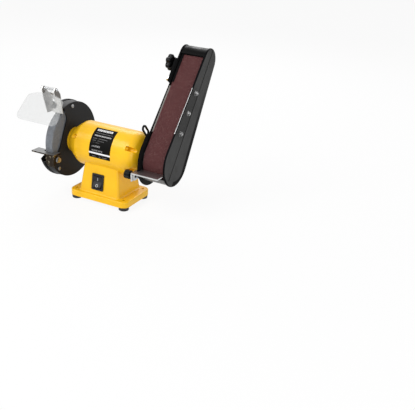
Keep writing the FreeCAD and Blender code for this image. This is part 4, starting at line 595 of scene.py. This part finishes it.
starKnob = {"lobes": 6, "valley": 0.24, "sharpness": 1.6, "around": 144, "rounded": 40,
            # distance along the axis from the front, share of the radius, how far the lobes show
            "profile": ((0.0016, 0.0, 0), (0.0016, 0.30, 0), (0.0012, 0.35, 0.1), (0.0001, 0.40, 0.2),
                        (0.0, 0.60, 0.55), (0.0004, 0.80, 0.85), (0.0014, 0.92, 1), (0.0032, 0.985, 1),
                        (0.0058, 1.0, 1), (0.0088, 0.99, 1), (0.0108, 0.95, 1), (0.0118, 0.87, 0.9),
                        (0.0121, 0.70, 0.7), (0.0121, 0.44, 0)),
            "hubLength": 0.0012, "studStart": 0.0016}


def buildStarKnob():
    # the tracking knob, with full round lobes, a dished front and the stud behind it
    cad = nodes["tracking_knob"].data.vertices
    low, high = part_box("tracking_knob")
    end = [v.co for v in cad if high.x - v.co.x < 1e-5]
    y, z = sum(v.y for v in end) / len(end), sum(v.z for v in end) / len(end)
    radius = max(math.hypot(v.co.y - y, v.co.z - z) for v in cad)
    stud = max(math.hypot(v.y - y, v.z - z) for v in end)
    outmost = max(cad, key=lambda v: math.hypot(v.co.y - y, v.co.z - z)).co
    turn = math.atan2(outmost.z - z, outmost.y - y)
    rings = [(low.x + along, radius * share, lobed) for along, share, lobed in starKnob["profile"]]
    back, hub, lobed = rings[-1]
    rings += [(back + starKnob["hubLength"], hub, 0), (back + starKnob["studStart"], stud, 0),
              (high.x, stud, 0), (high.x, 0.0, 0)]
    made = bmesh.new()
    loops = []
    for x, reach, lobed in rings:
        if reach == 0:
            loops.append([made.verts.new((x, y, z))])
            continue
        loop = []
        for k in range(starKnob["around"]):
            angle = math.tau * k / starKnob["around"]
            dip = (0.5 - 0.5 * math.cos(starKnob["lobes"] * (angle - turn))) ** starKnob["sharpness"]
            r = reach * (1 - starKnob["valley"] * dip * lobed)
            loop.append(made.verts.new((x, y + r * math.cos(angle), z + r * math.sin(angle))))
        loops.append(loop)
    count = starKnob["around"]
    for first, second in zip(loops, loops[1:]):
        for k in range(count):
            near = [first[k % len(first)], first[(k + 1) % len(first)]]
            far = [second[(k + 1) % len(second)], second[k % len(second)]]
            made.faces.new(list(dict.fromkeys(near + far)))  # three corners where a ring is a point
    for face in made.faces:
        face.smooth = True
    mesh = closeMesh(made, "starKnob")
    mesh.set_sharp_from_angle(angle=math.radians(starKnob["rounded"]))
    knob = addPiece("starKnob", mesh, finishes["glossy_knob"], "tracking")
    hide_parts("tracking_knob")


armStrips = {  # finish, slot, line followed, left and right edge (a side of the belt or cover, and how far
    # to the right of it), ahead of that line, from and to below the idler's axis
    # three dark strips that stand as painted shadow on the belt's margins under the top guard
    "leftPaintedShadow": ("painted_shade_black", "black_paint", "belt", ("left", -0.0015), ("left", 0.0035),
                   0.0008, 0.071, 0.0035),
    "rightPaintedShadow": ("painted_shade_black", "black_paint", "belt", ("right", -0.0001), ("right", 0.0024),
                    0.0008, 0.077, 0.0035),
    "topPaintedShadow": ("painted_shade_black", "black_paint", "belt", ("left", -0.0015), ("right", 0.0024),
                  0.0008, 0.0035, -0.006),
    "brightEdge": ("dull_zinc", "bare_steel", "cover", ("right", -0.0037), ("right", -0.0026),
                   -0.0001, 0.188, 0.079)}
stripSheet = {"thickness": 0.0006, "steps": 24}


def layArmStrips(arm):
    # dark strips put as painted shadow beside and above the belt under the top guard, and the rubbed bright edge
    # of the cover
    for name, (finish, slotName, line, leftEdge, rightEdge, ahead, start, end) in armStrips.items():
        made = bmesh.new()
        rows = []
        front = ahead + stripSheet["thickness"]
        left, right = (arm[line][side] + shift for side, shift in (leftEdge, rightEdge))
        corners = ((left, ahead), (left, front), (right, front), (right, ahead))
        for k in range(stripSheet["steps"] + 1):
            along = arm["length"] - start + (start - end) * k / stripSheet["steps"]
            rows.append([made.verts.new(armPoint(arm, x, line, out, along)) for x, out in corners])
        for first, second in zip(rows, rows[1:]):
            for k in range(4):
                made.faces.new((first[k], first[(k + 1) % 4], second[(k + 1) % 4], second[k]))
        made.faces.new(rows[0])
        made.faces.new(rows[-1])
        addPiece(name, closeMesh(made, name), finishes[finish], "arm")


rockerMarks = {"lift": 0.00012, "barWidth": 0.0012, "barHeight": 0.0068, "ringRadius": 0.0031,
               "ringWidth": 0.0011, "around": 40, "barShare": 0.76, "ringShare": 0.26,
               "colour": (0.62, 0.63, 0.64), "wornShade": 0.7}


def layOn(piece, x, z, lift):
    # the place on the front of a piece at x, z, lifted along the surface's normal
    hit, where, normal = piece.ray_cast(Vector((x, -1, z)), Vector((0, 1, 0)))[:3]
    return where + normal * lift if hit else None


def printRocker():
    rocker = nodes["switch_rocker"]
    low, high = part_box("switch_rocker")
    middle = (low.x + high.x) / 2
    paint = Paint("rockerPrint")
    wearAndPaintedLight = paint.step(paint.grain(0.0012, 4, 0.7), 0.38, 0.62)
    colour = rockerMarks["colour"]
    finish = paint.finish(baseColor=paint.mix(wearAndPaintedLight, shades(colour, rockerMarks["wornShade"]), colour),
                          roughness=0.5 + wearAndPaintedLight * 0.1)
    made = bmesh.new()

    def strip(inner, outer):
        rows = [[made.verts.new(layOn(rocker, x, z, rockerMarks["lift"])) for x, z in side]
                for side in (inner, outer)]
        for k in range(len(inner) - 1):
            made.faces.new((rows[0][k], rows[0][k + 1], rows[1][k + 1], rows[1][k]))

    z = low.z + (high.z - low.z) * rockerMarks["barShare"]
    half, reach = rockerMarks["barWidth"] / 2, rockerMarks["barHeight"] / 2
    strip(*[[(middle + side, z - reach), (middle + side, z + reach)] for side in (-half, half)])
    z = low.z + (high.z - low.z) * rockerMarks["ringShare"]
    turns = [math.tau * k / rockerMarks["around"] for k in range(rockerMarks["around"] + 1)]
    rings = [[(middle + r * math.cos(a), z + r * math.sin(a)) for a in turns]
             for r in (rockerMarks["ringRadius"] - rockerMarks["ringWidth"], rockerMarks["ringRadius"])]
    strip(*rings)
    bmesh.ops.remove_doubles(made, verts=made.verts, dist=1e-7)
    bmesh.ops.recalc_face_normals(made, faces=made.faces)
    for face in made.faces:
        if face.normal.y > 0:
            face.normal_flip()
    mesh = bpy.data.meshes.new("rockerMarks")
    made.to_mesh(mesh)
    made.free()
    addPiece("rockerMarks", mesh, finish, "rocker")


view = {"azimuth": 33.83, "elevation": 19.24, "distance": 1.34504, "aimHeight": 0.130,
        "yaw": 9.36, "pitch": 5.73, "roll": 1.13, "lens": 51.46, "sensor": 36.0}


def placeCamera():
    azimuth, elevation, yaw, pitch, roll = (
        math.radians(view[k]) for k in ("azimuth", "elevation", "yaw", "pitch", "roll"))
    back = Vector((math.sin(azimuth) * math.cos(elevation), -math.cos(azimuth) * math.cos(elevation),
                   math.sin(elevation)))
    right = Vector((math.cos(azimuth), math.sin(azimuth), 0))
    ahead = -back
    up = right.cross(ahead)
    ahead, right = ahead * math.cos(yaw) + right * math.sin(yaw), right * math.cos(yaw) - ahead * math.sin(yaw)
    ahead, up = ahead * math.cos(pitch) - up * math.sin(pitch), up * math.cos(pitch) + ahead * math.sin(pitch)
    right, up = right * math.cos(roll) + up * math.sin(roll), up * math.cos(roll) - right * math.sin(roll)
    camera = bpy.data.objects.new("viewCamera", bpy.data.cameras.new("viewCamera"))
    camera.data.lens = view["lens"]
    camera.data.sensor_width = view["sensor"]
    turn = Matrix((right, up, -ahead)).transposed().to_4x4()
    camera.matrix_world = Matrix.Translation(back * view["distance"] + Vector((0, 0, view["aimHeight"]))) @ turn
    bpy.context.scene.collection.objects.link(camera)
    bpy.context.scene.camera = camera


floor = {"size": 30.0, "colour": (0.86, 0.86, 0.86), "patchShade": 0.985, "own": 0.11}  # own: shaded by the lamps


def layFloor():
    mesh = bpy.data.meshes.new("floor")
    half = floor["size"] / 2
    mesh.from_pydata([(-half, -half, 0), (half, -half, 0), (half, half, 0), (-half, half, 0)], [], [(0, 1, 2, 3)])
    piece = bpy.data.objects.new("floor", mesh)
    bpy.context.scene.collection.objects.link(piece)
    paint = Paint("paleFloor")
    cloudy = paint.grain(0.4, 2)
    matt = paint.tree.nodes.new("ShaderNodeBsdfDiffuse")
    shade = paint.mix(cloudy, floor["colour"], shades(floor["colour"], floor["patchShade"]))
    paint.feed(matt.inputs["Color"], shade)
    glow = paint.tree.nodes.new("ShaderNodeEmission")
    glow.inputs["Strength"].default_value = 1.0
    ray = paint.tree.nodes.new("ShaderNodeLightPath")
    seen = Link(paint, ray.outputs["Is Camera Ray"]) + Link(paint, ray.outputs["Is Glossy Ray"])
    seen = seen + Link(paint, ray.outputs["Is Transmission Ray"])
    seen = paint.maths("MINIMUM", seen, 1.0) * (1 - floor["own"])
    blend = paint.tree.nodes.new("ShaderNodeMixShader")
    paint.feed(blend.inputs[0], seen)
    paint.tree.links.new(matt.outputs[0], blend.inputs[1])
    paint.tree.links.new(glow.outputs[0], blend.inputs[2])
    end = paint.tree.nodes.new("ShaderNodeOutputMaterial")
    paint.tree.links.new(blend.outputs[0], end.inputs["Surface"])
    mesh.materials.append(paint.material)


lamps = {  # where each soft lamp stands, what it faces, its width and height and its power
    "key": ((-0.9, -1.6, 1.9), (0.0, 0.0, 0.15), 1.6, 1.2, 34),
    "fill": ((1.6, -1.3, 0.45), (0.05, 0.0, 0.15), 1.2, 1.0, 9),
    "rim": ((-0.6, 1.6, 1.5), (0.0, 0.1, 0.2), 1.4, 0.8, 14)}
daylight = {"light": 0.62, "seen": 1.0}


def lightStudio():
    for name, (at, towards, width, height, power) in lamps.items():
        lamp = bpy.data.lights.new(name + "Lamp", "AREA")
        lamp.shape, lamp.size, lamp.size_y, lamp.energy = "RECTANGLE", width, height, power
        holder = bpy.data.objects.new(name + "Lamp", lamp)
        aim = Vector(towards) - Vector(at)
        holder.matrix_world = Matrix.Translation(at) @ aim.to_track_quat("-Z", "Y").to_matrix().to_4x4()
        bpy.context.scene.collection.objects.link(holder)
    world = bpy.data.worlds.new("studio")
    world.use_nodes = True
    bpy.context.scene.world = world
    tree = world.node_tree
    ray = tree.nodes.new("ShaderNodeLightPath")
    total = ray.outputs["Is Camera Ray"]
    for name in ("Is Glossy Ray", "Is Transmission Ray"):
        adder = tree.nodes.new("ShaderNodeMath")
        adder.operation = "ADD"
        adder.use_clamp = True
        tree.links.new(total, adder.inputs[0])
        tree.links.new(ray.outputs[name], adder.inputs[1])
        total = adder.outputs[0]
    level = tree.nodes.new("ShaderNodeMapRange")
    level.inputs["To Min"].default_value = daylight["light"]
    level.inputs["To Max"].default_value = daylight["seen"]
    tree.links.new(total, level.inputs["Value"])
    tree.links.new(level.outputs[0], tree.nodes["Background"].inputs["Strength"])
    tree.nodes["Background"].inputs["Color"].default_value = (1, 1, 1, 1)


placeCamera()
layFloor()
lightStudio()
print("stage set")
arm = findArm()
buildFinishes(arm)
dressNodes()
print("nodes dressed")
buildStarKnob()
printRocker()
layArmStrips(arm)
print("knob, rocker marks and arm strips made")
bpy.context.scene.view_settings.view_transform = "Standard"
bpy.context.view_layer.update()
